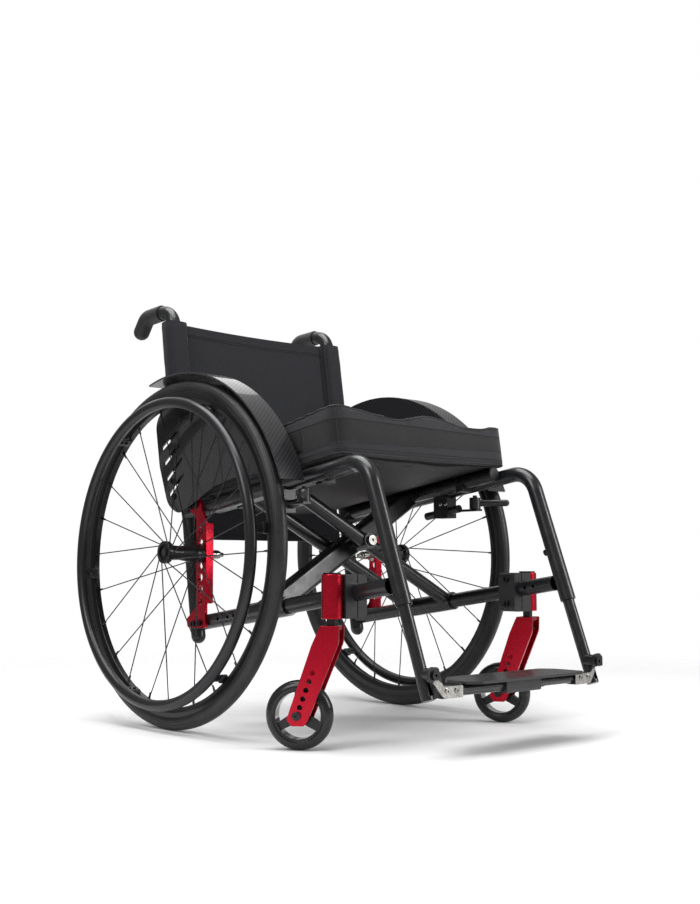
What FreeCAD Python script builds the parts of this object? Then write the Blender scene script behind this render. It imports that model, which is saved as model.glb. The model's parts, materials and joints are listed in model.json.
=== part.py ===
import FreeCAD, Part
import Sketcher
import math
import os
import re

# A folding manual wheelchair. +Y points to the back of the chair, +X to the user's left, +Z up.
# Sizes are in millimetres, and heights are above the floor.
# Every "y" below is measured from the rear axle and moved by axle_back when it is used.

doc = FreeCAD.newDocument("wheelchair")
V = FreeCAD.Vector
X, Y, Z = V(1, 0, 0), V(0, 1, 0), V(0, 0, 1)

DIMENSIONS = {
    # stance
    "axle_back": 130.5,  # rear axle behind the middle of the chair
    "camber": 1.9,  # lean of the rear wheels, degrees
    "track_half": 259.2,  # tyre centre to the chair's middle, at the axle
    # rear wheel
    "tyre_radius": 295,
    "tyre_section": 12.5,
    "tyre_bead": 274,
    "rim_inner": 258,
    "rim_half_width": 9.2,
    "handrim_radius": 253.9,
    "handrim_section": 9.5,
    "handrim_offset": 33.8,
    "hub_outer_end": 25,
    "hub_inner_end": 50,
    "hub_flange": 19,
    "hub_waist": 12,
    "hub_bore": 6.35,
    "axle_pin": 6.3,
    "spoke_radius": 1.0,
    # side frame
    "frame_half": 190,
    "frame_tube": 25.4,
    "frame_wall": 1.8,
    "rail_slope": 8.2,  # seat and lower tubes rise to the front, degrees
    "leg_lean": 19.4,  # front leg from the vertical, degrees
    "leg_end_y": -482.1,
    "leg_end_z": 214.5,
    "top_tube_z": 374.6,  # top tube's centre above the axle
    "front_bend": 45,
    "brace_y": -157,
    "lower_tube_z": 199,  # lower tube's centre at brace_y
    "post_half": 188,
    "post_tube": 25,
    "post_lean": 8.73,
    "post_foot_y": 30.5,
    "post_foot_z": 138,
    "post_top_z": 744,
    "handle_bend": 34,
    "handle_back": 200,
    "grip_tube": 30,
    # axle plate
    "plate_thickness": 5,
    "plate_x": 203,
    "plate_hole": 6.5,
    "axle_hole": 8.5,
    "plate_pitch": 20,
    # casters
    "caster_half": 226,
    "caster_y": -365.7,
    "caster_radius": 51.5,
    "caster_width": 26,
    "caster_trail": 49.5,
    "caster_bore": 4.06,
    "caster_pin": 4,
    "housing_radius": 16,
    "housing_low": 193,
    "housing_high": 259,
    "stem_radius": 8,
    "stem_bore": 8.06,
    "fork_gap": 32,
    "fork_leg": 4,
    "fork_top": 183,
    "swivel_right": -36.3,
    "swivel_left": -21.7,
    # cross brace
    "brace_angle": 29.5,
    "arm_low": 218.3,  # lower pivot to centre pivot
    "arm_high": 187.3,  # centre pivot to seat rail
    "arm_a_width": 32,
    "arm_a_height": 36,
    "arm_b_tube": 24,
    "arm_b_spread": 46,
    "sleeve_tube": 32,
    "sleeve_gap": 0.06,
    "rail_tube": 25.4,
    "pivot_bolt": 5,
    # footrest
    "footrest_tube": 19,
    "footrest_end_z": 81.9,
    "flip_z": 118.5,
    "flip_half": 188,
    "lug_front": -536.5,
    "bracket_plate": 3.2,
    "bracket_front": -540,
    "crossbar_tube": 16,
    "crossbar_y": -530,
    "crossbar_z": 93.5,
    "footplate_front": -556,
    "footplate_rear": -470,
    "footplate_top": 106,
    "footplate_thickness": 4,
    # brake
    "brake_y": -205,  # middle of the brake's clamp
    "brake_hinge_y": -270,
    "brake_z": 383,
    "brake_rod": 6,
    # side guard
    "guard_x": 215,
    "guard_thickness": 3,
    "fender_radius": 306,
    "fender_thickness": 3,
    # seat
    "cushion_half": 197,
    "cushion_length": 392,
    "cushion_height": 74,
    "back_half": 210,
    "back_low": 320,
    "sleeve_low": 445,
    "sleeve_high": 718,
    "sling_thickness": 3.5,
    # fasteners
    "bolt_head": 5.5,
    "small_bolt": 4,
}

sheet = doc.addObject("Spreadsheet::Sheet", "sizes")
for row, (alias, value) in enumerate(DIMENSIONS.items(), start=1):
    sheet.set(f"A{row}", alias)
    sheet.set(f"B{row}", str(value))
    sheet.setAlias(f"B{row}", alias)
doc.recompute()


class Sizes:
    """Reads a driving dimension back from the sheet."""

    def __getattr__(self, alias):
        return float(sheet.get(alias))


D = Sizes()
NODES = {}


# ---------------------------------------------------------------- helpers


def cell(formula):
    """A formula of aliases, as the sheet's own cells."""
    return re.sub(r"\b([a-z][a-z_]*)\b", r"sizes.\1", formula)


def bind(thing, **formulas):
    for name, formula in formulas.items():
        thing.setExpression(name, cell(formula))
    return thing


def at(x, y, z):
    """A point given from the rear axle's line, in the chair's frame."""
    return V(x, y + D.axle_back, z)


def node(name, thing):
    thing.Label = name
    NODES[name] = thing
    return thing


def side_name(side):
    return "left" if side > 0 else "right"


def turn_to(direction, axis=Z):
    return FreeCAD.Rotation(axis, direction)


def bar(name, start, end, radius):
    """A round bar; radius is a formula of aliases."""
    solid = bind(doc.addObject("Part::Cylinder", name), Radius=radius)
    solid.Height = (end - start).Length
    solid.Placement = FreeCAD.Placement(start, turn_to(end - start))
    return solid


def block(name, low, high):
    solid = doc.addObject("Part::Box", name)
    solid.Length, solid.Width, solid.Height = tuple(high - low)
    solid.Placement.Base = low
    return solid


def fuse(name, *pieces):
    joined = doc.addObject("Part::MultiFuse", name)
    joined.Shapes = list(pieces)
    return joined


def cut(name, base, *tools):
    result = doc.addObject("Part::Cut", name)
    result.Base = base
    result.Tool = tools[0] if len(tools) == 1 else fuse(name + "_tools", *tools)
    return result


def group(name, pieces):
    """Separate solids that share one node."""
    together = doc.addObject("Part::Compound", name)
    together.Links = list(pieces)
    return together


def tube(name, start, end, outer, wall):
    """A straight tube; outer diameter and wall are formulas."""
    skin = bar(name + "_skin", start, end, f"{outer} / 2")
    bore = bar(name + "_bore", start, end, f"{outer} / 2 - {wall}")
    return cut(name, skin, bore)


def socket_bolt(name, seat, direction, radius, length, socket=2.4, depth=2.5):
    """A bolt's head standing on its seat, with a hexagon socket."""
    end = seat + direction * length
    head = bar(name + "_head", seat, end, radius)
    hexagon = doc.addObject("Part::Prism", name + "_hexagon")
    hexagon.Polygon = 6
    hexagon.Circumradius = socket
    hexagon.Height = depth + 1
    hexagon.Placement = FreeCAD.Placement(end - direction * depth, turn_to(direction))
    return cut(name, head, hexagon)


def plane_of(body, role):
    return [p for p in body.Origin.OriginFeatures if p.Role == role][0]


def new_sketch(body, name, role):
    sketch = body.newObject("Sketcher::SketchObject", name)
    sketch.AttachmentSupport = [(plane_of(body, role), "")]
    sketch.MapMode = "FlatFace"
    return sketch


def edges_of(points, radii, closed=True):
    """Straight edges between points, with an arc of its own radius at each corner."""
    count = len(points)
    if not isinstance(radii, (list, tuple)):
        radii = [radii] * count
    stops = []
    for i, point in enumerate(points):
        open_end = not closed and i in (0, count - 1)
        if open_end or radii[i] <= 0:
            stops.append((point, None, point))
            continue
        before = (points[i - 1] - point).normalize()
        after = (points[(i + 1) % count] - point).normalize()
        half = before.getAngle(after) / 2
        reach = radii[i] / math.tan(half)
        middle = (before + after).normalize()
        crown = point + middle * (radii[i] / math.sin(half) - radii[i])
        stops.append((point + before * reach, crown, point + after * reach))
    edges = []
    for i, (enter, crown, leave) in enumerate(stops):
        if crown is not None:
            edges.append(Part.Arc(enter, crown, leave))
        if i + 1 < count or closed:
            following = stops[(i + 1) % count][0]
            if (following - leave).Length > 1e-6:
                edges.append(Part.LineSegment(leave, following))
    return edges


def flat(*pairs):
    return [V(a, b, 0) for a, b in pairs]


def add_loop(sketch, points, radii=0.0):
    for edge in edges_of(points, radii):
        sketch.addGeometry(edge)


def add_circle(sketch, a, b, radius):
    """A circle whose radius, a formula, is bound to the sheet."""
    place = sketch.addGeometry(Part.Circle(V(a, b, 0), Z, 1.0))
    row = sketch.addConstraint(Sketcher.Constraint("Radius", place, 1.0))
    sketch.renameConstraint(row, f"radius_{row}")
    sketch.setExpression(f"Constraints.radius_{row}", cell(radius))


def pad(body, sketch, length, symmetric=True, backwards=False):
    """A pad of the sketch; length is a formula, or a number worked out from the sheet."""
    feature = body.newObject("PartDesign::Pad", sketch.Name + "_pad")
    feature.Profile = sketch
    if isinstance(length, str):
        bind(feature, Length=length)
    else:
        feature.Length = length
    if symmetric:
        feature.SideType = "Symmetric"
    feature.Reversed = backwards
    return feature


def plate(name, role, points, radii, thickness, place, holes=(), slots=()):
    """A flat plate with rounded corners, round holes (a, b, radius formula) and slots."""
    body = doc.addObject("PartDesign::Body", name)
    sketch = new_sketch(body, name + "_outline", role)
    add_loop(sketch, points, radii)
    for a, b, radius in holes:
        add_circle(sketch, a, b, radius)
    for slot in slots:
        add_loop(sketch, *slot)
    pad(body, sketch, thickness)
    body.Placement = place
    return body


def slot_loop(start, end, width):
    """A straight slot's four corners and their radius."""
    along = (end - start).normalize()
    across = V(-along.y, along.x, 0) * (width / 2)
    corners = [start + across, start - across, end - across, end + across]
    return corners, width / 2 - 0.01


def turned(name, edges, place):
    """A solid turned about its own Y axis from a profile of radius and axial place."""
    body = doc.addObject("PartDesign::Body", name)
    sketch = new_sketch(body, name + "_profile", "XY_Plane")
    for edge in edges:
        sketch.addGeometry(edge)
    spin = body.newObject("PartDesign::Revolution", name + "_turn")
    spin.Profile = sketch
    spin.ReferenceAxis = (sketch, ["V_Axis"])
    spin.Angle = 360
    body.Placement = place
    return body


def side_route(name, points, radius, x):
    """A bent route in the plane of constant x, as a sketch."""
    route = doc.addObject("Sketcher::SketchObject", name)
    route.Placement = FreeCAD.Placement(V(x, 0, 0), FreeCAD.Rotation(Y, Z, X, "XYZ"))
    local = [V(p.y, p.z, 0) for p in points]
    for edge in edges_of(local, radius, closed=False):
        route.addGeometry(edge)
    return route


def sweep(name, route, radius, start, direction):
    """A round bar along a route."""
    ring = bind(doc.addObject("Part::Circle", name + "_ring"), Radius=radius)
    ring.Placement = FreeCAD.Placement(start, turn_to(direction))
    swept = doc.addObject("Part::Sweep", name)
    swept.Sections = [ring]
    swept.Spine = (route, [f"Edge{i + 1}" for i in range(route.GeometryCount)])
    swept.Solid = True
    return swept


def bent_tube(name, points, bend, outer, wall, x):
    route = side_route(name + "_route", points, bend, x)
    toward = points[1] - points[0]
    skin = sweep(name + "_skin", route, f"{outer} / 2", points[0], toward)
    bore = sweep(name + "_bore", route, f"{outer} / 2 - {wall}", points[0], toward)
    return cut(name, skin, bore)


# ---------------------------------------------------------------- reference geometry

SLOPE = math.radians(D.rail_slope)
LEAN = math.radians(D.leg_lean)
POST_LEAN = math.radians(D.post_lean)
CAMBER = math.radians(D.camber)
FORWARD = V(0, -math.cos(SLOPE), math.sin(SLOPE))
SEAT_UP = V(0, math.sin(SLOPE), math.cos(SLOPE))
BRACE_ORIGIN = at(0, D.brace_y, D.lower_tube_z)
WHEEL_Z = (D.tyre_radius - D.tyre_section) * math.cos(CAMBER) + D.tyre_section
SIDES = (-1, 1)


def brace_point(x, forward, up):
    """A point in the brace's frame: along the lower tubes and square to them."""
    return BRACE_ORIGIN + X * x + FORWARD * forward + SEAT_UP * up


def rail_height(y, level_y, level_z):
    """Height at y of a line that rises to the front like the rails."""
    return level_z + (level_y - y) * math.tan(SLOPE)


def lower_tube_point(x, y):
    return at(x, y, rail_height(y, D.brace_y, D.lower_tube_z))


def top_tube_point(x, y):
    return at(x, y, rail_height(y, 0, D.top_tube_z))


def leg_point(x, z):
    """A point on the front leg's centre line."""
    return at(x, D.leg_end_y + (z - D.leg_end_z) * math.tan(LEAN), z)


def post_point(x, z):
    """A point on the back post's centre line."""
    return at(x, D.post_foot_y + (z - D.post_foot_z) * math.tan(POST_LEAN), z)


def wheel_frame(side, offset=0.0):
    """Placement at the rear wheel's centre: own Y outboard along the axle, own Z up the wheel."""
    outboard = V(side * math.cos(CAMBER), 0, math.sin(CAMBER))
    up = V(-side * math.sin(CAMBER), 0, math.cos(CAMBER))
    turn = FreeCAD.Rotation(outboard.cross(up), outboard, up, "YZX")
    return FreeCAD.Placement(at(side * D.track_half, 0, WHEEL_Z) + outboard * offset, turn)


# ---------------------------------------------------------------- side frames


def front_frame_tube(side):
    """Top tube that bends down into the front leg, in one piece."""
    x = side * D.frame_half
    name = f"front_frame_tube_{side_name(side)}"
    post_y = D.post_foot_y + (D.top_tube_z - D.post_foot_z) * math.tan(POST_LEAN)
    rear = top_tube_point(x, post_y)
    # the corner is where the top tube's line meets the leg's
    drop = math.tan(SLOPE)
    run = math.tan(LEAN)
    corner_z = (D.top_tube_z - drop * (D.leg_end_y - D.leg_end_z * run)) / (1 + drop * run)
    corner = leg_point(x, corner_z)
    foot = leg_point(x, D.leg_end_z)
    pipe = bent_tube(name + "_pipe", [rear, corner, foot], D.front_bend, "frame_tube", "frame_wall", x)
    post = bar(name + "_post", post_point(side * D.post_half, 250), post_point(side * D.post_half, 500),
               "post_tube / 2 + 0.02")
    holes = []
    for i, z in enumerate((335, 317, 281, 263)):
        middle = leg_point(x, z)
        back = V(0, math.cos(LEAN), -math.sin(LEAN))
        holes.append(bar(f"{name}_hole{i}", middle + back * 8, middle + back * 20, "small_bolt * 0.75"))
    return node(name, cut(name, pipe, post, *holes))


def lower_frame_tube(side):
    x = side * D.frame_half
    name = f"lower_frame_tube_{side_name(side)}"
    front_y, rear_y = -455, 36
    pipe = tube(name + "_pipe", lower_tube_point(x, rear_y), lower_tube_point(x, front_y), "frame_tube",
                "frame_wall")
    leg = bar(name + "_leg", leg_point(x, 150), leg_point(x, 330), "frame_tube / 2 + 0.02")
    post = bar(name + "_post", post_point(side * D.post_half, 100), post_point(side * D.post_half, 260),
               "post_tube / 2 + 0.02")
    holes = []
    for y, way in ((-89, 20), (-72, 20), (-44, 20), (-400, -20), (-418, -20)):
        start, end = lower_tube_point(x, y), lower_tube_point(x + side * way, y)
        holes.append(bar(f"{name}_hole{len(holes)}", start, end, "small_bolt * 0.75"))
    return node(name, cut(name, pipe, leg, post, *holes))


def back_post(side):
    """Back post with a closed, rounded foot, bent back at the top into the push handle."""
    x = side * D.post_half
    name = f"back_post_{side_name(side)}"
    foot = post_point(x, D.post_foot_z + 12)
    top = post_point(x, D.post_top_z)
    tail = V(x, D.handle_back + D.axle_back, D.post_top_z - 2)
    pipe = bent_tube(name + "_pipe", [foot, top, tail], D.handle_bend, "post_tube", "frame_wall", x)
    ball = bind(doc.addObject("Part::Sphere", name + "_foot"), Radius="post_tube / 2")
    ball.Placement.Base = foot
    plug = bar(name + "_plug", foot, post_point(x, D.post_foot_z + 20), "post_tube / 2")
    return node(name, fuse(name, pipe, ball, plug))


def push_grip(side):
    """Rubber grip with finger grooves, bent down at its rear end."""
    x = side * D.post_half
    name = f"push_grip_{side_name(side)}"
    top_z = D.post_top_z
    points = [at(x, 158, top_z), at(x, 210, top_z - 2), at(x, 229, top_z - 26)]
    route = side_route(name + "_route", points, 22, x)
    body = sweep(name + "_body", route, "grip_tube / 2", points[0], points[1] - points[0])
    tip = bind(doc.addObject("Part::Sphere", name + "_tip"), Radius="grip_tube / 2")
    tip.Placement.Base = points[2]
    bend = post_point(x, top_z)
    tail = at(x, D.handle_back, top_z - 2)
    hollow = bar(name + "_hollow", bend, tail + (tail - bend) * 0.001, "post_tube / 2 + 0.02")
    grooves = []
    for i in range(5):
        groove = doc.addObject("Part::Torus", f"{name}_groove{i}")
        groove.Radius1 = 17.5
        groove.Radius2 = 2.2
        groove.Placement = FreeCAD.Placement(at(x, 168 + 7.5 * i, top_z), turn_to(Y))
        grooves.append(groove)
    return node(name, cut(name, fuse(name + "_whole", body, tip), hollow, *grooves))


def axle_plate(side):
    """Upright plate that carries the rear axle, with a row of height holes and a front flange."""
    name = f"axle_plate_{side_name(side)}"
    x = side * (D.plate_x + D.plate_thickness / 2)
    outline = flat((38, 166), (40, 181), (13, 200), (13, 356), (38, 372), (38, 386), (4, 389), (-4, 366),
                   (-15, 350), (-15, 180), (-18, 166))
    corners = [6, 4, 12, 12, 4, 6, 6, 8, 8, 8, 6]
    axle_z = WHEEL_Z - (D.track_half - D.plate_x) * math.tan(CAMBER)
    holes = [(0, axle_z + D.plate_pitch * i, "plate_hole" if i else "axle_hole") for i in range(-4, 3)]
    place = FreeCAD.Placement(at(x, 0, 0), FreeCAD.Rotation())
    web = plate(name + "_web", "YZ_Plane", outline, corners, "plate_thickness", place, holes)
    edge = flat((-17, 208), (-12, 208), (-12, 347), (-17, 347))
    flange = plate(name + "_flange", "YZ_Plane", edge, 2, "plate_thickness * 3",
                   FreeCAD.Placement(at(x - side * D.plate_thickness, 0, 0), FreeCAD.Rotation()))
    return node(name, fuse(name, web, flange))


def guard_outline():
    """Side guard's outline: a lobe at the rear, a lower edge over the top tube and the fender's arc."""
    centre = V(0, WHEEL_Z, 0)
    radius = D.fender_radius + D.fender_thickness / 2

    def on_arc(degrees):
        turn = math.radians(degrees)
        return centre + V(-math.sin(turn), math.cos(turn), 0) * radius

    arc = Part.Arc(on_arc(69), on_arc(25), on_arc(-16))
    lobe = flat((132, 530), (118, 452), (90, 380), (56, 364), (10, 382), (-49, 407), (-120, 421), (-200, 421))
    path = [on_arc(-16)] + lobe + [on_arc(69)]
    radii = [0, 30, 60, 40, 26, 40, 60, 60, 40, 0]
    return edges_of(path, radii, closed=False) + [arc]


def side_guard(side):
    """Carbon side guard with four slanted slots, and the fender that turns out over the tyre."""
    name = f"side_guard_{side_name(side)}"
    body = doc.addObject("PartDesign::Body", name + "_body")
    panel = new_sketch(body, name + "_panel", "YZ_Plane")
    for edge in guard_outline():
        panel.addGeometry(edge)
    starts = [(119, 477), (111, 449), (103, 420), (94, 392)]
    ends = [(62, 511), (54, 487), (46, 463), (41, 436)]
    for start, end in zip(starts, ends):
        low = V(start[0] - 8, start[1] + 5, 0)
        add_loop(panel, *slot_loop(low, V(*end, 0), 7))
    pad(body, panel, "guard_thickness")
    fender = new_sketch(body, name + "_fender", "YZ_Plane")
    inner, outer = D.fender_radius, D.fender_radius + D.fender_thickness
    # the sketch's first axis is Y, so angles here run from the back, over the top, to the front
    rear, front = math.radians(90 - 16), math.radians(90 + 69)
    centre = V(0, WHEEL_Z, 0)

    def on(radius, angle):
        return centre + V(math.cos(angle), math.sin(angle), 0) * radius

    middle = (rear + front) / 2
    fender.addGeometry(Part.Arc(on(outer, rear), on(outer, middle), on(outer, front)))
    fender.addGeometry(Part.LineSegment(on(outer, front), on(inner, front)))
    fender.addGeometry(Part.Arc(on(inner, front), on(inner, middle), on(inner, rear)))
    fender.addGeometry(Part.LineSegment(on(inner, rear), on(outer, rear)))
    pad(body, fender, "track_half - guard_x + 3", symmetric=False, backwards=side < 0)
    body.Placement.Base = at(side * D.guard_x, 0, 0)
    return node(name, body)


def caster_clamp(side):
    """Block clamped round the lower tube that carries the caster's housing."""
    name = f"caster_clamp_{side_name(side)}"
    inner, outer = side * 171, side * 214
    low, high = D.housing_low, D.housing_high
    outline = flat((inner, low), (outer, low), (outer, high), (inner, high))
    place = FreeCAD.Placement(at(0, D.caster_y, 0), FreeCAD.Rotation())
    shell = plate(name + "_block", "XZ_Plane", outline, [8, 2, 2, 8], "housing_radius * 2.2", place)
    x = side * D.frame_half
    pipe = bar(name + "_pipe", lower_tube_point(x, -300), lower_tube_point(x, -440), "frame_tube / 2 + 0.02")
    pivot = at(side * D.caster_half, D.caster_y, 0)
    barrel = bar(name + "_barrel", pivot + Z * 180, pivot + Z * 270, "housing_radius + 0.02")
    splits = []
    for start_z, end_z in ((235, high + 3), (low - 3, 222)):
        start, end = at(x - 0.8, D.caster_y - 30, start_z), at(x + 0.8, D.caster_y + 30, end_z)
        splits.append(block(f"{name}_split{len(splits)}", start, end))
    return node(name, cut(name, shell, pipe, barrel, *splits))


def caster_housing(side):
    """Barrel that the caster's stem turns in."""
    name = f"caster_housing_{side_name(side)}"
    profile = edges_of(flat((D.stem_bore, D.housing_low), (D.housing_radius, D.housing_low),
                            (D.housing_radius, D.housing_high), (0, D.housing_high),
                            (0, D.housing_high - 7), (D.stem_bore, D.housing_high - 7)),
                       [0, 1.2, 1.2, 0, 0, 0])
    place = FreeCAD.Placement(at(side * D.caster_half, D.caster_y, 0), turn_to(Z, Y))
    return node(name, turned(name, profile, place))


def brake_mount(side):
    """Block clamped under the top tube, with the bar that the brake slides along."""
    name = f"brake_mount_{side_name(side)}"
    x = side * D.frame_half
    low = top_tube_point(x - 12, D.brake_y + 17) - Z * 44
    high = top_tube_point(x + 12, D.brake_y - 17) - Z * 8
    low, high = (V(low.x, high.y, low.z), V(high.x, low.y, high.z))
    jaw = block(name + "_jaw", low, high)
    pipe = bar(name + "_pipe", top_tube_point(x, D.brake_y + 60), top_tube_point(x, D.brake_y - 60),
               "frame_tube / 2 + 0.02")
    clamp = cut(name + "_clamp", jaw, pipe)
    start = top_tube_point(x - side * 4, D.brake_y + 42) - Z * 36
    end = top_tube_point(x - side * 4, D.brake_y - 40) - Z * 36
    return node(name, fuse(name, clamp, bar(name + "_bar", start, end, "brake_rod + 1")))


def brake_pivot(side):
    return at(side * (D.frame_half + 10), D.brake_hinge_y, D.brake_z)


def brake_arm(side):
    """Swinging arm: a knuckle on an upright pin, and the round shoe that presses the tyre."""
    name = f"brake_arm_{side_name(side)}"
    hinge = brake_pivot(side)
    knuckle = bar(name + "_knuckle", hinge - Z * 10, hinge + Z * 10, "brake_rod + 4")
    tip = hinge + V(side * 36, -42, 0)
    rod = bar(name + "_rod", hinge, tip, "brake_rod")
    ball = bind(doc.addObject("Part::Sphere", name + "_tip"), Radius="brake_rod")
    ball.Placement.Base = tip
    pin = bar(name + "_pin", hinge - Z * 20, hinge + Z * 20, "caster_bore")
    return node(name, cut(name, fuse(name + "_whole", knuckle, rod, ball), pin))


def rail_saddle(side):
    """Two cradles on the top tube that the seat rail settles into when the chair is open."""
    name = f"rail_saddles_{side_name(side)}"
    x = side * D.frame_half
    rail_x = side * seat_rail_x()
    cradles = []
    for i, forward in enumerate((150, -60)):
        frame = FreeCAD.Placement(brace_point(0, forward, seat_rail_up()), turn_to(SEAT_UP))
        low_x, high_x = sorted((side * 148, side * 177.9))
        cradle = block(f"{name}_block{i}", V(low_x, -7, -17), V(high_x, 7, 4))
        cradle.Placement = frame.multiply(cradle.Placement)
        rail = bar(f"{name}_rail{i}", brace_point(rail_x, forward - 20, seat_rail_up()),
                   brace_point(rail_x, forward + 20, seat_rail_up()), "rail_tube / 2 + 0.3")
        low_x, high_x = sorted((side * 140, side * 176))
        room = block(f"{name}_room{i}", V(low_x, -9, -1), V(high_x, 9, 9))
        room.Placement = frame.multiply(room.Placement)
        pipe = bar(f"{name}_pipe{i}", top_tube_point(x, -400), top_tube_point(x, 60), "frame_tube / 2 + 0.02")
        cradles.append(cut(f"{name}_{i}", cradle, rail, room, pipe))
    return node(name, group(name, cradles))


def footrest_tube(side):
    """Inner leg tube that slides in the front leg, with the lug for the footplate's pivot."""
    name = f"footrest_tube_{side_name(side)}"
    x = side * D.frame_half
    top = leg_point(x, D.leg_end_z + 60)
    foot = leg_point(x, D.footrest_end_z)
    pipe = tube(name + "_pipe", foot, top, "footrest_tube", "frame_wall")
    cap = bar(name + "_cap", foot, foot + (top - foot).normalize() * 4, "footrest_tube / 2")
    lug_x = side * D.flip_half
    lug = bar(name + "_lug", at(lug_x, -516, D.flip_z), at(lug_x, D.lug_front, D.flip_z), "footrest_tube / 2")
    keep_clear = bar(name + "_inside", foot + Z * 6, top, "footrest_tube / 2 - frame_wall")
    whole = fuse(name + "_whole", pipe, cap, lug)
    hole = bar(name + "_hole", at(lug_x, -500, D.flip_z), at(lug_x, -540, D.flip_z), "small_bolt + 0.02")
    return node(name, cut(name, whole, keep_clear, hole))


def frame_bolts(side):
    """Screws, pins and small hardware that stay with the side frame, each a solid of its own."""
    tag = side_name(side)
    name = f"frame_bolts_{tag}"
    outboard, inboard = X * side, X * -side
    pieces = []

    def screw(label, seat, direction, radius="bolt_head", length=4.0):
        pieces.append(socket_bolt(f"{name}_{label}", seat, direction, radius, length))

    web_face = side * (D.plate_x + D.plate_thickness)
    for i, (y, z) in enumerate(((28.4, 376), (14.8, 378), (1, 175), (18.9, 172.5))):
        screw(f"plate{i}", at(web_face, y, z), outboard)
    for i, z in enumerate((206, 248)):
        screw(f"clamp{i}", at(side * 171, D.caster_y, z), inboard)
    back = V(0, math.cos(LEAN), -math.sin(LEAN))
    leg = leg_point(side * D.frame_half, 298)
    screw("height", leg + back * (D.frame_tube / 2), back, "bolt_head", 5.0)
    guard_face = side * (D.guard_x - D.guard_thickness / 2)
    for i, z in enumerate((395, 423)):
        post = post_point(side * D.post_half, z)
        start = V(side * (D.post_half + D.post_tube / 2), post.y, z)
        pieces.append(bar(f"{name}_spacer{i}", start, V(guard_face, post.y, z), "bolt_head"))
        face = V(side * (D.guard_x + D.guard_thickness / 2), post.y, z)
        screw(f"guard{i}", face, outboard, "bolt_head", 2.5)
    # axle sleeve and its nut, on the cambered axle line
    frame = wheel_frame(side)
    axis = frame.Rotation.multVec(Y)

    def on_axle(x):
        return frame.Base + axis * ((abs(x) - D.track_half) / math.cos(CAMBER))

    sleeve = bar(f"{name}_sleeve", on_axle(172), on_axle(208.4), "axle_hole - 0.7")
    nut = doc.addObject("Part::Prism", f"{name}_nut")
    nut.Polygon = 6
    nut.Circumradius = 11.5
    nut.Height = 10
    nut.Placement = FreeCAD.Placement(on_axle(192), turn_to(axis))
    bore = bar(f"{name}_sleeve_bore", on_axle(160), on_axle(215), "axle_pin + 0.05")
    pieces.append(cut(f"{name}_receiver", fuse(f"{name}_receiver_body", sleeve, nut), bore))
    # caster barrel's cap
    pivot = at(side * D.caster_half, D.caster_y, D.housing_high)
    pieces.append(bar(f"{name}_cap", pivot, pivot + Z * 2.5, "housing_radius - 2.5"))
    # footplate pivot: a shouldered pin in the lug
    lug_x = side * D.flip_half
    shoulder = D.bracket_front - 0.3
    pin = bar(f"{name}_pin", at(lug_x, -520, D.flip_z), at(lug_x, shoulder, D.flip_z), "small_bolt")
    head = socket_bolt(f"{name}_pin_head", at(lug_x, shoulder, D.flip_z), Y * -1, "small_bolt + 3", 3.0)
    pieces.append(fuse(f"{name}_pivot", pin, head))
    # brake pin, held by the clamp's tongue
    hinge = brake_pivot(side)
    pin = bar(f"{name}_brake_pin", hinge - Z * 14, hinge + Z * 14, "caster_pin")
    near, far = sorted((hinge.x - side * 6.5, hinge.x + side * 9))
    clamp_front = D.brake_y - 17 + D.axle_back
    tongue = block(f"{name}_tongue", V(near, hinge.y - 9, hinge.z - 14), V(far, clamp_front, hinge.z - 10.4))
    pieces.append(fuse(f"{name}_brake", pin, tongue))
    return node(name, group(name, pieces))


# ---------------------------------------------------------------- rear wheels


def tyre_edges():
    centre = D.tyre_radius - D.tyre_section
    reach = math.sqrt(D.tyre_section ** 2 - (centre - D.tyre_bead) ** 2)
    low, high = V(D.tyre_bead, -reach, 0), V(D.tyre_bead, reach, 0)
    return [Part.Arc(low, V(D.tyre_radius, 0, 0), high), Part.LineSegment(high, low)]


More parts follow.
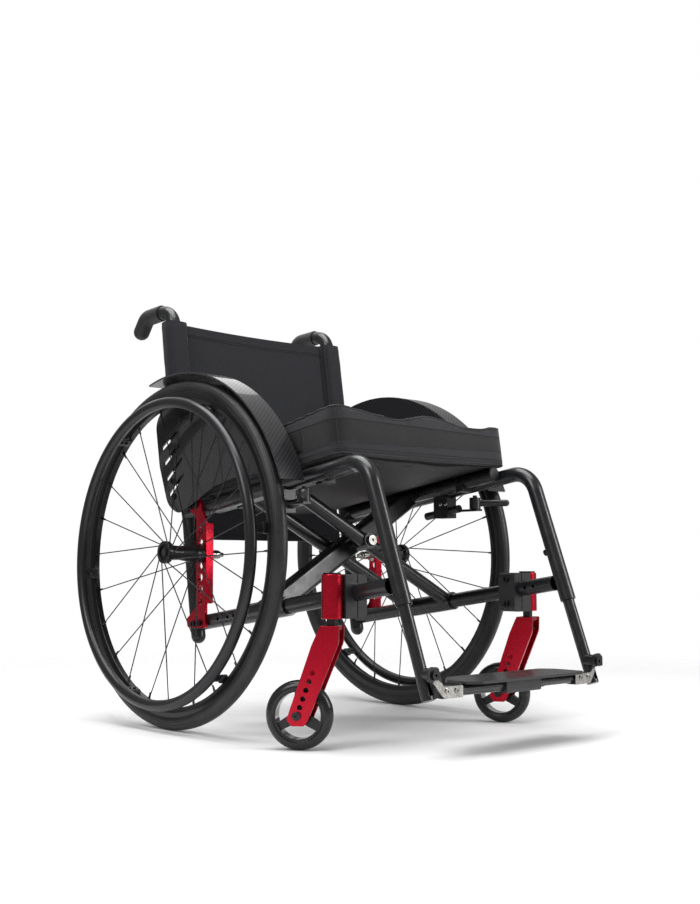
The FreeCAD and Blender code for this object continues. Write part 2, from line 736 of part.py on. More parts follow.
def rear_wheel(side):
    """Tyre, rim, spokes, hub and handrim, all about the cambered axle."""
    tag = side_name(side)
    place = wheel_frame(side)
    node(f"rear_tyre_{tag}", turned(f"rear_tyre_{tag}", tyre_edges(), place))

    half = D.rim_half_width
    bead, inner = D.tyre_bead, D.rim_inner
    rim = edges_of(flat((bead, -half), (bead, half), (bead - 8, half), (inner, half - 4), (inner, 4 - half),
                        (bead - 8, -half)), [0, 0, 2, 2, 2, 2])
    node(f"rear_rim_{tag}", turned(f"rear_rim_{tag}", rim, place))

    outer_end, inner_end = D.hub_outer_end, -D.hub_inner_end
    flange, waist, bore = D.hub_flange, D.hub_waist, D.hub_bore
    hub = edges_of(flat((bore, outer_end - 4), (flange - 5, outer_end - 4), (flange - 5, outer_end),
                        (flange, outer_end), (flange, outer_end - 9), (waist + 1, outer_end - 13),
                        (waist, outer_end - 32), (waist + 4, inner_end + 14), (waist + 4.5, inner_end),
                        (bore, inner_end)),
                   [0, 0, 0.8, 0.8, 2, 3, 20, 10, 1, 0])
    node(f"rear_hub_{tag}", turned(f"rear_hub_{tag}", hub, place))

    spokes = []
    count = 24
    for i in range(count):
        outer_row = i % 2 == 0
        rim_angle = 2 * math.pi * i / count
        lean = math.radians(38) if outer_row else math.radians(-38)
        hub_angle = rim_angle + lean
        hub_axial = outer_end - 5 if outer_row else inner_end + 12
        hub_radius = flange - 0.6 if outer_row else waist + 3.4
        seat, offset = inner + 0.6, 2 if outer_row else -2
        start = V(hub_radius * math.cos(hub_angle), hub_axial, hub_radius * math.sin(hub_angle))
        end = V(seat * math.cos(rim_angle), offset, seat * math.sin(rim_angle))
        spokes.append(bar(f"spoke_{tag}_{i}", place.multVec(start), place.multVec(end), "spoke_radius"))
    node(f"rear_spokes_{tag}", group(f"rear_spokes_{tag}", spokes))

    ring = bind(doc.addObject("Part::Torus", f"handrim_{tag}_ring"), Radius1="handrim_radius",
                Radius2="handrim_section")
    ring.Placement = wheel_frame(side, D.handrim_offset).multiply(FreeCAD.Placement(V(), turn_to(Y)))
    pieces = [ring]
    tabs = 6
    for i in range(tabs):
        spin = FreeCAD.Rotation(Y, 360 / tabs * i + 8)
        corner = V(inner - 6.5, half - 3.9, -9)
        tab = block(f"handrim_{tag}_tab{i}", corner, V(inner - 2.5, D.handrim_offset - 4, 9))
        foot = block(f"handrim_{tag}_foot{i}", corner, V(inner - 0.1, half, 9))
        for piece in (tab, foot):
            piece.Placement = place.multiply(FreeCAD.Placement(V(), spin)).multiply(piece.Placement)
            pieces.append(piece)
    node(f"handrim_{tag}", fuse(f"handrim_{tag}", *pieces))

    axis = place.Rotation.multVec(Y)
    pin = bar(f"axle_{tag}_pin", place.Base - axis * 91, place.Base + axis * 16.2, "axle_pin")
    tip = bar(f"axle_{tag}_tip", place.Base - axis * 98, place.Base - axis * 91, "axle_pin - 2.3")
    node(f"quick_release_axle_{tag}", fuse(f"quick_release_axle_{tag}", pin, tip))
    button = bar(f"button_{tag}", place.Base + axis * 20.6, place.Base + axis * 24.6, "axle_pin - 0.1")
    node(f"axle_button_{tag}", button)


# ---------------------------------------------------------------- casters


def caster_place(side):
    """Placement at the floor under the caster's pivot: own X trails, own Y is the axle."""
    angle = D.swivel_left if side > 0 else D.swivel_right
    turn = math.radians(angle)
    trail = V(math.sin(turn), math.cos(turn), 0)
    rotation = FreeCAD.Rotation(trail, Z.cross(trail), Z, "XZY")
    return FreeCAD.Placement(at(side * D.caster_half, D.caster_y, 0), rotation)


def caster(side):
    tag = side_name(side)
    place = caster_place(side)
    hub = place.multVec(V(D.caster_trail, 0, D.caster_radius))
    axle = place.Rotation.multVec(Y)
    leg_outline = flat((-15, D.fork_top), (14, D.fork_top), (27, 155), (65, 46), (57, 37), (39, 37), (33, 44),
                       (-14, 158))
    corners = [2, 8, 30, 3, 2, 2, 3, 30]
    along = (V(D.caster_trail, D.caster_radius, 0) - V(0, D.fork_top, 0)).normalize()
    axle_at = V(D.caster_trail, D.caster_radius, 0)
    holes = [(axle_at.x, axle_at.y, "caster_pin + 0.02")]
    for i in range(1, 6):
        spot = axle_at - along * (13.5 * i)
        holes.append((spot.x, spot.y, "caster_pin"))
    legs = []
    reach = (D.fork_gap + D.fork_leg) / 2
    for i, offset in enumerate((-reach, reach)):
        leg_place = place.multiply(FreeCAD.Placement(V(0, offset, 0), FreeCAD.Rotation()))
        leg = plate(f"fork_{tag}_leg{i}", "XZ_Plane", leg_outline, corners, "fork_leg", leg_place, holes)
        legs.append(leg)
    web = block(f"fork_{tag}_web", V(-13, -reach, D.fork_top - 6), V(15, reach, D.fork_top))
    web.Placement = place.multiply(web.Placement)
    stem_hole = bar(f"fork_{tag}_stem_hole", place.multVec(V(0, 0, 170)), place.multVec(V(0, 0, 190)),
                    "stem_radius - 2")
    node(f"caster_fork_{tag}", cut(f"caster_fork_{tag}", fuse(f"fork_{tag}_body", web, *legs), stem_hole))

    foot = place.multVec(V(0, 0, D.fork_top))
    stem = bar(f"pins_{tag}_stem", foot, foot + Z * (D.housing_high - 9 - D.fork_top), "stem_radius")
    half = D.fork_gap / 2 + D.fork_leg
    bolt = bar(f"pins_{tag}_bolt", hub - axle * (half + 0.02), hub + axle * (half + 0.02), "caster_pin")
    heads = [
        socket_bolt(f"pins_{tag}_head{i}", hub + axle * (half * way), axle * way, "bolt_head + 1", 3.5)
        for i, way in enumerate((-1, 1))
    ]
    spacers = []
    for i, way in enumerate((-1, 1)):
        start = hub + axle * (way * (D.caster_width / 2 + 0.4))
        end = hub + axle * (way * (D.fork_gap / 2))
        washer = bar(f"pins_{tag}_washer{i}", start, end, "bolt_head + 1")
        clear = bar(f"pins_{tag}_clear{i}", start, end, "caster_pin")
        spacers.append(cut(f"pins_{tag}_spacer{i}", washer, clear))
    front_spot = place.multVec(V(-5, 0, 163))
    inside = axle * (D.fork_gap / 2)
    cross = bar(f"pins_{tag}_cross", front_spot - inside, front_spot + inside, "caster_pin - 0.5")
    pins = [stem, fuse(f"pins_{tag}_axle", bolt, *heads), cross, *spacers]
    node(f"caster_pins_{tag}", group(f"caster_pins_{tag}", pins))

    wheel_place = FreeCAD.Placement(hub, place.Rotation)
    radius, half_width = D.caster_radius, D.caster_width / 2
    tread = [Part.Arc(V(radius - 11, -half_width + 1, 0), V(radius, 0, 0), V(radius - 11, half_width - 1, 0))]
    seat = radius - 14
    tread += edges_of(flat((radius - 11, half_width - 1), (seat, half_width - 2), (seat, 2 - half_width),
                           (radius - 11, 1 - half_width)), 0, closed=False)
    node(f"caster_tyre_{tag}", turned(f"caster_tyre_{tag}", tread, wheel_place))

    barrel = edges_of(flat((seat - 3, 2 - half_width), (seat, 2 - half_width), (seat, half_width - 2),
                           (seat - 3, half_width - 2)), 0)
    hub_edges = edges_of(flat((D.caster_bore, -half_width), (11, -half_width), (11, half_width),
                              (D.caster_bore, half_width)), [0, 1.5, 1.5, 0])
    parts = [turned(f"caster_rim_{tag}_barrel", barrel, wheel_place),
             turned(f"caster_rim_{tag}_hub", hub_edges, wheel_place)]
    for i in range(3):
        blade = flat((9, -8), (seat - 1, -6), (seat - 1, 6), (9, 8))
        turn = FreeCAD.Placement(V(), FreeCAD.Rotation(Y, 120 * i + 30))
        parts.append(plate(f"caster_rim_{tag}_blade{i}", "XZ_Plane", blade, 0, "caster_width - 14",
                           wheel_place.multiply(turn)))
    node(f"caster_rim_{tag}", fuse(f"caster_rim_{tag}", *parts))


# ---------------------------------------------------------------- cross brace and seat rails


def seat_rail_x():
    return (D.arm_low + D.arm_high) * math.cos(math.radians(D.brace_angle)) - D.frame_half


def seat_rail_up():
    return (D.arm_low + D.arm_high) * math.sin(math.radians(D.brace_angle))


def seat_frame_place(forward, up):
    """Placement on the seat's plane: own X across, own Y to the back along the rails, own Z off the seat."""
    return FreeCAD.Placement(brace_point(0, forward, up), FreeCAD.Rotation(X, FORWARD * -1, SEAT_UP, "XZY"))


CENTRE_UP = D.arm_low * math.sin(math.radians(D.brace_angle))
BRACE_MIDDLE = 8  # arm A's place along the lower tubes, forward of brace_y


def seat_rail(side):
    """Round seat rail with a closed, rounded front end."""
    name = f"seat_rail_{side_name(side)}"
    x = side * seat_rail_x()
    up = seat_rail_up()
    front, rear = brace_point(x, 192 + 28.8, up), brace_point(x, -140, up)
    pipe = tube(name + "_pipe", rear, front, "rail_tube", "frame_wall")
    cap = bar(name + "_cap", front - FORWARD * 4, front + FORWARD * 3, "rail_tube / 2 - 0.6")
    end = bar(name + "_end", rear - FORWARD * 2, rear + FORWARD * 4, "rail_tube / 2 - 0.6")
    bore = bar(name + "_between", rear + FORWARD * 4, front - FORWARD * 4, "rail_tube / 2 - frame_wall")
    return node(name, cut(name, fuse(name + "_whole", pipe, cap, end), bore))


def sleeve(name, x, rear, front):
    """A sleeve that turns on the lower tube."""
    start, end = brace_point(x, rear, 0), brace_point(x, front, 0)
    skin = bar(name + "_skin", start, end, "sleeve_tube / 2")
    bore = bar(name + "_bore", start, end, "frame_tube / 2 + sleeve_gap")
    return skin, bore


def brace_bore(name, x, up, radius):
    """A long hole through both arms, along the lower tubes."""
    return bar(name, brace_point(x, -80, up), brace_point(x, 90, up), radius)


def brace_arm_a():
    """Box-section arm from the right lower tube up to the left seat rail."""
    name = "brace_arm_a"
    angle = math.radians(D.brace_angle)
    length = D.arm_low + D.arm_high
    foot = brace_point(-D.frame_half, BRACE_MIDDLE, 0)
    along = X * math.cos(angle) + SEAT_UP * math.sin(angle)
    rotation = FreeCAD.Rotation(FORWARD, SEAT_UP * math.cos(angle) - X * math.sin(angle), along, "ZXY")
    half_width, half_height = D.arm_a_width / 2, D.arm_a_height / 2
    section = flat((-half_width, -half_height), (half_width, -half_height), (half_width, half_height),
                   (-half_width, half_height))
    body = doc.addObject("PartDesign::Body", name + "_box")
    sketch = new_sketch(body, name + "_section", "XY_Plane")
    add_loop(sketch, section, 7)
    inside = [V(p.x * 0.86, p.y * 0.87, 0) for p in section]
    add_loop(sketch, inside, 5)
    pad(body, sketch, "arm_low + arm_high", symmetric=False)
    body.Placement = FreeCAD.Placement(foot, rotation)
    skin, bore = sleeve(name + "_sleeve", -D.frame_half, -52, 66)
    rail_x, up = seat_rail_x(), seat_rail_up()
    rail = brace_bore(name + "_rail", rail_x, up, "rail_tube / 2 + 0.02")
    # nothing of the box stands above the rail's middle
    above = block(name + "_above", V(80, -60, -1), V(260, 40, 60))
    above.Placement = seat_frame_place(0, up).multiply(above.Placement)
    pivot = brace_bore(name + "_pivot", 0, CENTRE_UP, "pivot_bolt + 0.05")
    return node(name, cut(name, fuse(name + "_whole", body, skin), bore, rail, above, pivot))


def brace_arm_b():
    """Pair of round tubes from the left lower tube up to the right seat rail, either side of arm A."""
    name = "brace_arm_b"
    up = seat_rail_up()
    rail_x = seat_rail_x()
    solids = []
    hollows = []
    for i, way in enumerate((-1, 1)):
        place = BRACE_MIDDLE + way * D.arm_b_spread
        foot, head = brace_point(D.frame_half, place, 0), brace_point(-rail_x, place, up)
        solids.append(bar(f"{name}_skin{i}", foot, head, "arm_b_tube / 2"))
        hollows.append(bar(f"{name}_bore{i}", foot, head, "arm_b_tube / 2 - frame_wall"))
        start, end = brace_point(0, place - 15, CENTRE_UP), brace_point(0, place + 15, CENTRE_UP)
        solids.append(bar(f"{name}_eye{i}", start, end, "sleeve_tube / 2 - 2"))
    skin, bore = sleeve(name + "_sleeve", D.frame_half, -52, 68)
    rail = brace_bore(name + "_rail", -rail_x, up, "rail_tube / 2 + 0.02")
    pivot = brace_bore(name + "_pivot", 0, CENTRE_UP, "pivot_bolt + 0.05")
    arms = cut(name + "_tubes", fuse(name + "_solids", *solids, skin), *hollows)
    return node(name, cut(name, arms, bore, rail, pivot))


def brace_bolt():
    """Centre pivot bolt through both arms, with its head, nut and spacers."""
    name = "brace_pivot_bolt"
    low, high = BRACE_MIDDLE - D.arm_b_spread - 15.1, BRACE_MIDDLE + D.arm_b_spread + 15.1
    start, end = brace_point(0, low, CENTRE_UP), brace_point(0, high, CENTRE_UP)
    shank = bar(name + "_shank", start, end, "pivot_bolt")
    head = socket_bolt(name + "_head", end, FORWARD, "pivot_bolt + 4", 5.0, 3, 3)
    nut = doc.addObject("Part::Prism", name + "_nut")
    nut.Polygon = 6
    nut.Circumradius = 9
    nut.Height = 7
    nut.Placement = FreeCAD.Placement(brace_point(0, low - 7, CENTRE_UP), turn_to(FORWARD))
    return node(name, fuse(name, shank, head, nut))


# ---------------------------------------------------------------- footplate


def bracket_outline(side):
    """End bracket's front outline, and its corner radii: an eye or an open hook at the pivot."""
    z = D.flip_z
    eye = [(201, z - 8), (201, z + 6), (194, z + 12), (180, z + 11), (171, z - 17), (130, z - 17),
           (130, z - 34), (168, z - 34)]
    corners = [4, 4, 4, 6, 6, 2, 2, 10]
    if side < 0:
        return flat(*[(-x, level) for x, level in eye + [(190, z - 12)]]), corners + [4]
    # the left end hooks over its pin from above, so its slot opens downward
    slot = 4.4
    left, right = D.flip_half - slot, D.flip_half + slot
    hook = [(180, z - 15), (left - 2, z - 9), (left, z + 4.2), (right, z + 4.2), (right, z - 9)]
    corners[0] = 1
    return flat(*(eye + hook)), corners + [1, 1, 2, 2, 1]


def footplate():
    """Crossbar with its end brackets, the clamp block and the thin plate, which flip up as one."""
    span = 170
    y, z = D.crossbar_y, D.crossbar_z
    start, end = at(-span, y, z), at(span, y, z)
    slim_from = at(60, y, z)
    thick = bar("crossbar_thick", start, slim_from, "crossbar_tube / 2")
    thin = bar("crossbar_thin", slim_from, end, "crossbar_tube / 2 - 1.2")
    node("footrest_crossbar", fuse("footrest_crossbar", thick, thin))

    pieces = []
    middle_y = D.bracket_front + D.bracket_plate / 2
    for side in SIDES:
        tag = side_name(side)
        points, corners = bracket_outline(side)
        holes = [(-D.flip_half, D.flip_z, "small_bolt + 0.08")] if side < 0 else []
        place = FreeCAD.Placement(at(0, middle_y, 0), FreeCAD.Rotation())
        cheek = plate(f"bracket_{tag}_cheek", "XZ_Plane", points, corners, "bracket_plate", place, holes)
        near, far = sorted((side * 131, side * 171))
        socket = block(f"bracket_{tag}_socket", at(near, D.bracket_front + 1, z - 9), at(far, y + 8.4, z + 8))
        hole = bar(f"bracket_{tag}_hole", start, end, "crossbar_tube / 2 + 0.02")
        pieces.append(cut(f"bracket_{tag}", fuse(f"bracket_{tag}_whole", cheek, socket), hole))
        for i, x in enumerate((162.8, 143.3)):
            seat = at(side * x, D.bracket_front, z + 1.5)
            pieces.append(socket_bolt(f"bracket_{tag}_bolt{i}", seat, Y * -1, "small_bolt", 2.0, 1.8, 1.5))
    node("footrest_brackets", group("footrest_brackets", pieces))

    low, high = z - 10.5, D.footplate_top - D.footplate_thickness
    shape = flat((y - 12, low), (y + 12, low), (y + 12, high), (y - 12, high))
    body = plate("footplate_clamp_block", "YZ_Plane", shape, [4, 4, 1, 1], "footrest_tube * 4.2",
                 FreeCAD.Placement(at(2.5, 0, 0), FreeCAD.Rotation()))
    hole = bar("footplate_clamp_hole", start, slim_from, "crossbar_tube / 2 + 0.02")
    node("footplate_clamp", cut("footplate_clamp", body, hole))

    rear, front = D.footplate_rear, D.footplate_front
    outline = flat((-125, front + 14), (-105, front), (128, front), (142, front + 12), (142, rear - 20),
                   (127, rear), (-90, rear), (-125, rear - 30))
    place = FreeCAD.Placement(at(0, 0, D.footplate_top - D.footplate_thickness / 2), FreeCAD.Rotation())
    corners = [8, 8, 8, 8, 12, 12, 20, 20]
    node("footplate", plate("footplate", "XY_Plane", outline, corners, "footplate_thickness", place))


# ---------------------------------------------------------------- soft parts


def cushion():
    """Seat cushion's closed outer form."""
    bottom = seat_rail_up() + D.rail_tube / 2 + 5
    half = D.cushion_half
    outline = flat((-half, 0), (half, 0), (half, D.cushion_length), (-half, D.cushion_length))
    body = doc.addObject("PartDesign::Body", "seat_cushion")
    sketch = new_sketch(body, "cushion_outline", "XY_Plane")
    add_loop(sketch, outline, [22, 22, 30, 30])
    pad(body, sketch, "cushion_height", symmetric=False)
    body.Placement = seat_frame_place(229.5, bottom)
    node("seat_cushion", body)


def seat_sling():
    """Seat fabric that lies over both rails and hangs a little between them."""
    top = seat_rail_up() + D.rail_tube / 2 + 0.4 + D.sling_thickness
    thick = D.sling_thickness
    edge, shoulder, sag = seat_rail_x() + 13, seat_rail_x() - 4, 26
    body = doc.addObject("PartDesign::Body", "seat_sling")
    sketch = new_sketch(body, "sling_section", "XZ_Plane")
    for level in (top, top - thick):
        ends = flat((-edge, level), (-shoulder, level), (0, level - sag), (shoulder, level), (edge, level))
        sketch.addGeometry(Part.LineSegment(ends[0], ends[1]))
        sketch.addGeometry(Part.Arc(ends[1], ends[2], ends[3]))
        sketch.addGeometry(Part.LineSegment(ends[3], ends[4]))
    for x in (-edge, edge):
        sketch.addGeometry(Part.LineSegment(V(x, top, 0), V(x, top - thick, 0)))
    pad(body, sketch, "cushion_length - 28")
    body.Placement = seat_frame_place(35, 0)
    node("seat_sling", body)


def back_upholstery():
    """Back fabric between the posts, with a sleeve round each post above the seat."""
    slant = math.cos(POST_LEAN)
    levels = (D.sleeve_high, D.sleeve_low, D.back_low)
    top, step, low = [(level - D.post_foot_z) / slant for level in levels]
    up = V(0, math.sin(POST_LEAN), math.cos(POST_LEAN))
    forward = V(0, -math.cos(POST_LEAN), math.sin(POST_LEAN))
    foot = post_point(0, D.post_foot_z)
    turn = FreeCAD.Rotation(X, forward * -1, up, "XZY")

    panel = doc.addObject("PartDesign::Body", "back_panel")
    sketch = new_sketch(panel, "back_panel_outline", "XZ_Plane")
    half = D.post_half - D.post_tube / 2 - 8
    add_loop(sketch, flat((-half, top - 1), (half, top - 1), (half, low), (-half, low)), [1, 1, 8, 8])
    pad(panel, sketch, "sling_thickness + 1.5")
    panel.Placement = FreeCAD.Placement(foot, turn)

    pieces = [panel]
    for side in SIDES:
        tag = side_name(side)
        wrap = doc.addObject("PartDesign::Body", f"back_sleeve_{tag}")
        section = new_sketch(wrap, f"back_sleeve_{tag}_section", "XY_Plane")
        wide, deep = D.back_half - D.post_half, 15.5
        add_loop(section, flat((-wide, -deep), (wide, -deep), (wide, deep), (-wide, deep)), 12)
        add_circle(section, 0, 0, "post_tube / 2 + 0.3")
        pad(wrap, section, top - step, symmetric=False)
        wrap.Placement = FreeCAD.Placement(post_point(side * D.post_half, D.post_foot_z) + up * step, turn)
        pieces.append(wrap)
    node("back_upholstery", fuse("back_upholstery", *pieces))


# ---------------------------------------------------------------- assembly

for hand in SIDES:
    front_frame_tube(hand)
    lower_frame_tube(hand)
    back_post(hand)
    push_grip(hand)
    axle_plate(hand)
    side_guard(hand)
    caster_clamp(hand)
    caster_housing(hand)
    brake_mount(hand)
    brake_arm(hand)
    rail_saddle(hand)
    footrest_tube(hand)
    frame_bolts(hand)
    rear_wheel(hand)
    caster(hand)
    seat_rail(hand)
brace_arm_a()
brace_arm_b()
brace_bolt()
footplate()
cushion()
seat_sling()
back_upholstery()
doc.recompute()

for thing in doc.Objects:
    bad = [word for word in thing.State if word in ("Invalid", "Error")]
    if bad:
        raise RuntimeError(f"{thing.Name} is {bad}")
for name, thing in NODES.items():
    if thing.Shape.isNull() or not thing.Shape.isValid():
        raise RuntimeError(f"{name} has no valid shape")
    if not thing.Shape.Solids:
        raise RuntimeError(f"{name} has no solid")

os.makedirs("parts", exist_ok=True)
for name, thing in NODES.items():
    thing.Shape.exportStep(f"parts/{name}.step")
print(len(NODES), "nodes")
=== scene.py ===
import json
import math

import bmesh
import bpy
import numpy as np
from mathutils import Matrix, Vector
from mathutils.bvhtree import BVHTree

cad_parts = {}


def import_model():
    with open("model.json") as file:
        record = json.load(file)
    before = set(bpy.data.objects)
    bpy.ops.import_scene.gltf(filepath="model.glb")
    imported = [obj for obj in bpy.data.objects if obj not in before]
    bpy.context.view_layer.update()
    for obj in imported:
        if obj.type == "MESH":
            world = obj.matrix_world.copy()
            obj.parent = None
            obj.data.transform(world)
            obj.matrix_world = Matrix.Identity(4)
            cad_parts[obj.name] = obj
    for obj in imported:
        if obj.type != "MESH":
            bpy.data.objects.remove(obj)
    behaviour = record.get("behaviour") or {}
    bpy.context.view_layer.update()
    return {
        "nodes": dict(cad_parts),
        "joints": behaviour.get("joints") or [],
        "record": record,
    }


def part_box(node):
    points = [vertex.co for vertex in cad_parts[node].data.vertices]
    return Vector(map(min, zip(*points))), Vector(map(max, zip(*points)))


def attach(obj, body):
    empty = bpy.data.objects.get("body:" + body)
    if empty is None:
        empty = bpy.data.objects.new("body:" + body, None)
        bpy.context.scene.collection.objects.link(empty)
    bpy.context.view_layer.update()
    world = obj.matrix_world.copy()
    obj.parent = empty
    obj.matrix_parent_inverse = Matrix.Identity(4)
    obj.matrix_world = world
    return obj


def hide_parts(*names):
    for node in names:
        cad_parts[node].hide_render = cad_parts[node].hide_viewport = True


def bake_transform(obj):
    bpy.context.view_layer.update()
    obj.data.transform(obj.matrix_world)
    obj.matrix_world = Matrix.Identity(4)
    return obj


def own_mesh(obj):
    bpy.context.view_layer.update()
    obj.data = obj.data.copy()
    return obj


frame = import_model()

# A folding manual wheelchair in metres: +Y to the back, +X to the occupant's left, +Z up.

NODES = frame["nodes"]
JOINTS = {joint["name"]: joint for joint in frame["joints"]}
SIDES = {"right": -1, "left": 1}
X, Y, Z = Vector((1, 0, 0)), Vector((0, 1, 0)), Vector((0, 0, 1))
MM = 0.001
RNG = np.random.default_rng(7)

# ------------------------ frames of reference

FORWARD = Vector(JOINTS["frame_fold"]["axis"]).normalized()
SEAT_UP = FORWARD.cross(X)
SEAT = Matrix((X, FORWARD, SEAT_UP))  # row frame to seat: across, forward along the rails, off the seat


def seat_point(across, forward, up):
    return X * across + FORWARD * forward + SEAT_UP * up


def places(obj):
    return np.array([v.co for v in obj.data.vertices], float).reshape(-1, 3)


def corners(node):
    return places(NODES[node])


def seat_span(node):
    """Lowest and highest corner of a CAD node in the seat's directions."""
    points = corners(node) @ np.array(SEAT).T
    return points.min(0), points.max(0)


def joint_frame(name, up=Z):
    """The joint's place, with its axis as Y."""
    axis = Vector(JOINTS[name]["axis"]).normalized()
    upright = (up - axis * up.dot(axis)).normalized()
    turn = Matrix((axis.cross(upright), axis, upright)).transposed().to_4x4()
    return Matrix.Translation(Vector(JOINTS[name]["pos_m"])) @ turn


def reach(node, place):
    """Smallest and largest radius, then smallest and largest axial place, of a node about a frame's Y."""
    local = corners(node) - np.array(place.translation)
    local = local @ np.array(place.to_3x3())
    radius = np.hypot(local[:, 0], local[:, 2])
    return radius.min(), radius.max(), local[:, 1].min(), local[:, 1].max()


# ------------------------ meshes


def added(name, data):
    """A new object in the scene."""
    obj = bpy.data.objects.new(name, data)
    bpy.context.scene.collection.objects.link(obj)
    return obj


def mesh_object(name, vertices, faces, material, sharp=40):
    mesh = bpy.data.meshes.new(name)
    mesh.from_pydata([tuple(v) for v in vertices], [], faces)
    mesh.validate()
    mesh.update()
    work = bmesh.new()
    work.from_mesh(mesh)
    bmesh.ops.recalc_face_normals(work, faces=work.faces)
    work.to_mesh(mesh)
    work.free()
    mesh.shade_smooth()
    mesh.set_sharp_from_angle(angle=math.radians(sharp))
    obj = added(name, mesh)
    obj.data.materials.append(material)
    return obj


def ring_faces(rings, sides, closed=True):
    """Faces from each ring of points to the next, and from the last to the first if closed."""
    faces = []
    for i in range(rings if closed else rings - 1):
        this, after = i * sides, (i + 1) % rings * sides
        for k in range(sides):
            following = (k + 1) % sides
            faces.append((this + k, this + following, after + following, after + k))
    return faces


def turned(name, profile, place, material, segments=192, sharp=40):
    """A closed profile of (radius, axial) turned about the frame's Y."""
    vertices = []
    for i in range(segments):
        turn = 2 * math.pi * i / segments
        for radius, axial in profile:
            vertices.append(place @ Vector((radius * math.cos(turn), axial, radius * math.sin(turn))))
    return mesh_object(name, vertices, ring_faces(segments, len(profile)), material, sharp)


def frames_along(points, closed):
    """A point, its two cross directions, along a path, turning as little as it can."""
    count = len(points)
    found = []
    side = None
    for i, point in enumerate(points):
        ahead = points[(i + 1) % count] if closed or i + 1 < count else point
        behind = points[i - 1] if closed or i > 0 else point
        along = (ahead - behind).normalized()
        if side is None:
            side = along.orthogonal()
        side = (side - along * side.dot(along)).normalized()
        found.append((point, side, along.cross(side)))
    return found


def tube(name, points, radius, material, sides=10, closed=False):
    """A round tube along points; radius is a number or one for each point."""
    points = [Vector(p) for p in points]
    radii = radius if isinstance(radius, (list, tuple)) else [radius] * len(points)
    vertices = []
    for (point, side, across), size in zip(frames_along(points, closed), radii):
        for k in range(sides):
            turn = 2 * math.pi * k / sides
            vertices.append(point + (side * math.cos(turn) + across * math.sin(turn)) * size)
    faces = ring_faces(len(points), sides, closed)
    if not closed:
        faces.append(tuple(range(sides)))
        faces.append(tuple((len(points) - 1) * sides + k for k in range(sides)))
    return mesh_object(name, vertices, faces, material, 60)


def rod(name, start, end, radius, material, sides=20, round_edge=0.0):
    """A straight round bar, with its ends' edges turned in by round_edge."""
    start, end = Vector(start), Vector(end)
    along = (end - start).normalized()
    steps = [(0.0, radius - round_edge), (round_edge, radius)] if round_edge else [(0.0, radius)]
    points = [start + along * far for far, _ in steps] + [end - along * far for far, _ in reversed(steps)]
    radii = [size for _, size in steps] + [size for _, size in reversed(steps)]
    return tube(name, points, radii, material, sides)


def rounded_block(name, place, half_sizes, radius, material, segments=3):
    """A block with rounded edges, centred on a frame."""
    work = bmesh.new()
    bmesh.ops.create_cube(work, size=2.0)
    bmesh.ops.scale(work, vec=half_sizes, verts=work.verts)
    bmesh.ops.bevel(work, geom=work.edges[:], offset=radius, segments=segments, profile=0.5, affect="EDGES")
    bmesh.ops.transform(work, matrix=place, verts=work.verts)
    mesh = bpy.data.meshes.new(name)
    work.to_mesh(mesh)
    work.free()
    mesh.shade_smooth()
    mesh.set_sharp_from_angle(angle=math.radians(50))
    obj = added(name, mesh)
    obj.data.materials.append(material)
    return obj


def joined(name, pieces):
    """Several meshes as one piece, with each material listed once."""
    work = bmesh.new()
    materials = []
    for piece in pieces:
        shift = len(materials)
        start = len(work.faces)
        work.from_mesh(piece.data)
        work.faces.ensure_lookup_table()
        for face in work.faces[start:]:
            face.material_index += shift
        materials += list(piece.data.materials)
    mesh = bpy.data.meshes.new(name)
    work.to_mesh(mesh)
    work.free()
    kept = []
    for material in materials:
        if material not in kept:
            kept.append(material)
            mesh.materials.append(material)
    order = [kept.index(m) for m in materials]
    for polygon in mesh.polygons:
        polygon.material_index = order[polygon.material_index]
    for piece in pieces:
        bpy.data.objects.remove(piece)
    return added(name, mesh)


def shell(name, rows, thickness, material, closed=False):
    """A thin closed sheet from rows of points; each row is as long as the others.

    closed joins each row's last point to its first, as round a sleeve."""
    rows = [[Vector(p) for p in row] for row in rows]
    high, wide = len(rows), len(rows[0])

    def normal(i, k):
        above, below = rows[min(i + 1, high - 1)][k], rows[max(i - 1, 0)][k]
        if closed:
            after, before = rows[i][(k + 1) % wide], rows[i][k - 1]
        else:
            after, before = rows[i][min(k + 1, wide - 1)], rows[i][max(k - 1, 0)]
        return (after - before).cross(above - below).normalized()

    outer = [rows[i][k] + normal(i, k) * (thickness / 2) for i in range(high) for k in range(wide)]
    inner = [rows[i][k] - normal(i, k) * (thickness / 2) for i in range(high) for k in range(wide)]
    faces = []
    total = high * wide
    spans = wide if closed else wide - 1
    for i in range(high - 1):
        for k in range(spans):
            a, b = i * wide + k, i * wide + (k + 1) % wide
            c, d = b + wide, a + wide
            faces.append((a, b, c, d))
            faces.append((total + a, total + d, total + c, total + b))
    for k in range(spans):
        for row in (0, high - 1):
            a, b = row * wide + k, row * wide + (k + 1) % wide
            faces.append((a, total + a, total + b, b))
    if not closed:
        for i in range(high - 1):
            for k in (0, wide - 1):
                a = i * wide + k
                faces.append((a, a + wide, total + a + wide, total + a))
    return mesh_object(name, outer + inner, faces, material, 50)


def store(obj, name, values):
    """A vector for each vertex, which the cloth's materials read as their place on the fabric."""
    layer = obj.data.attributes.new(name, "FLOAT_VECTOR", "POINT")
    layer.data.foreach_set("vector", np.asarray(values, np.float32).ravel())


def normals(obj):
    return np.array([v.normal for v in obj.data.vertices], float).reshape(-1, 3)


# ------------------------ material building


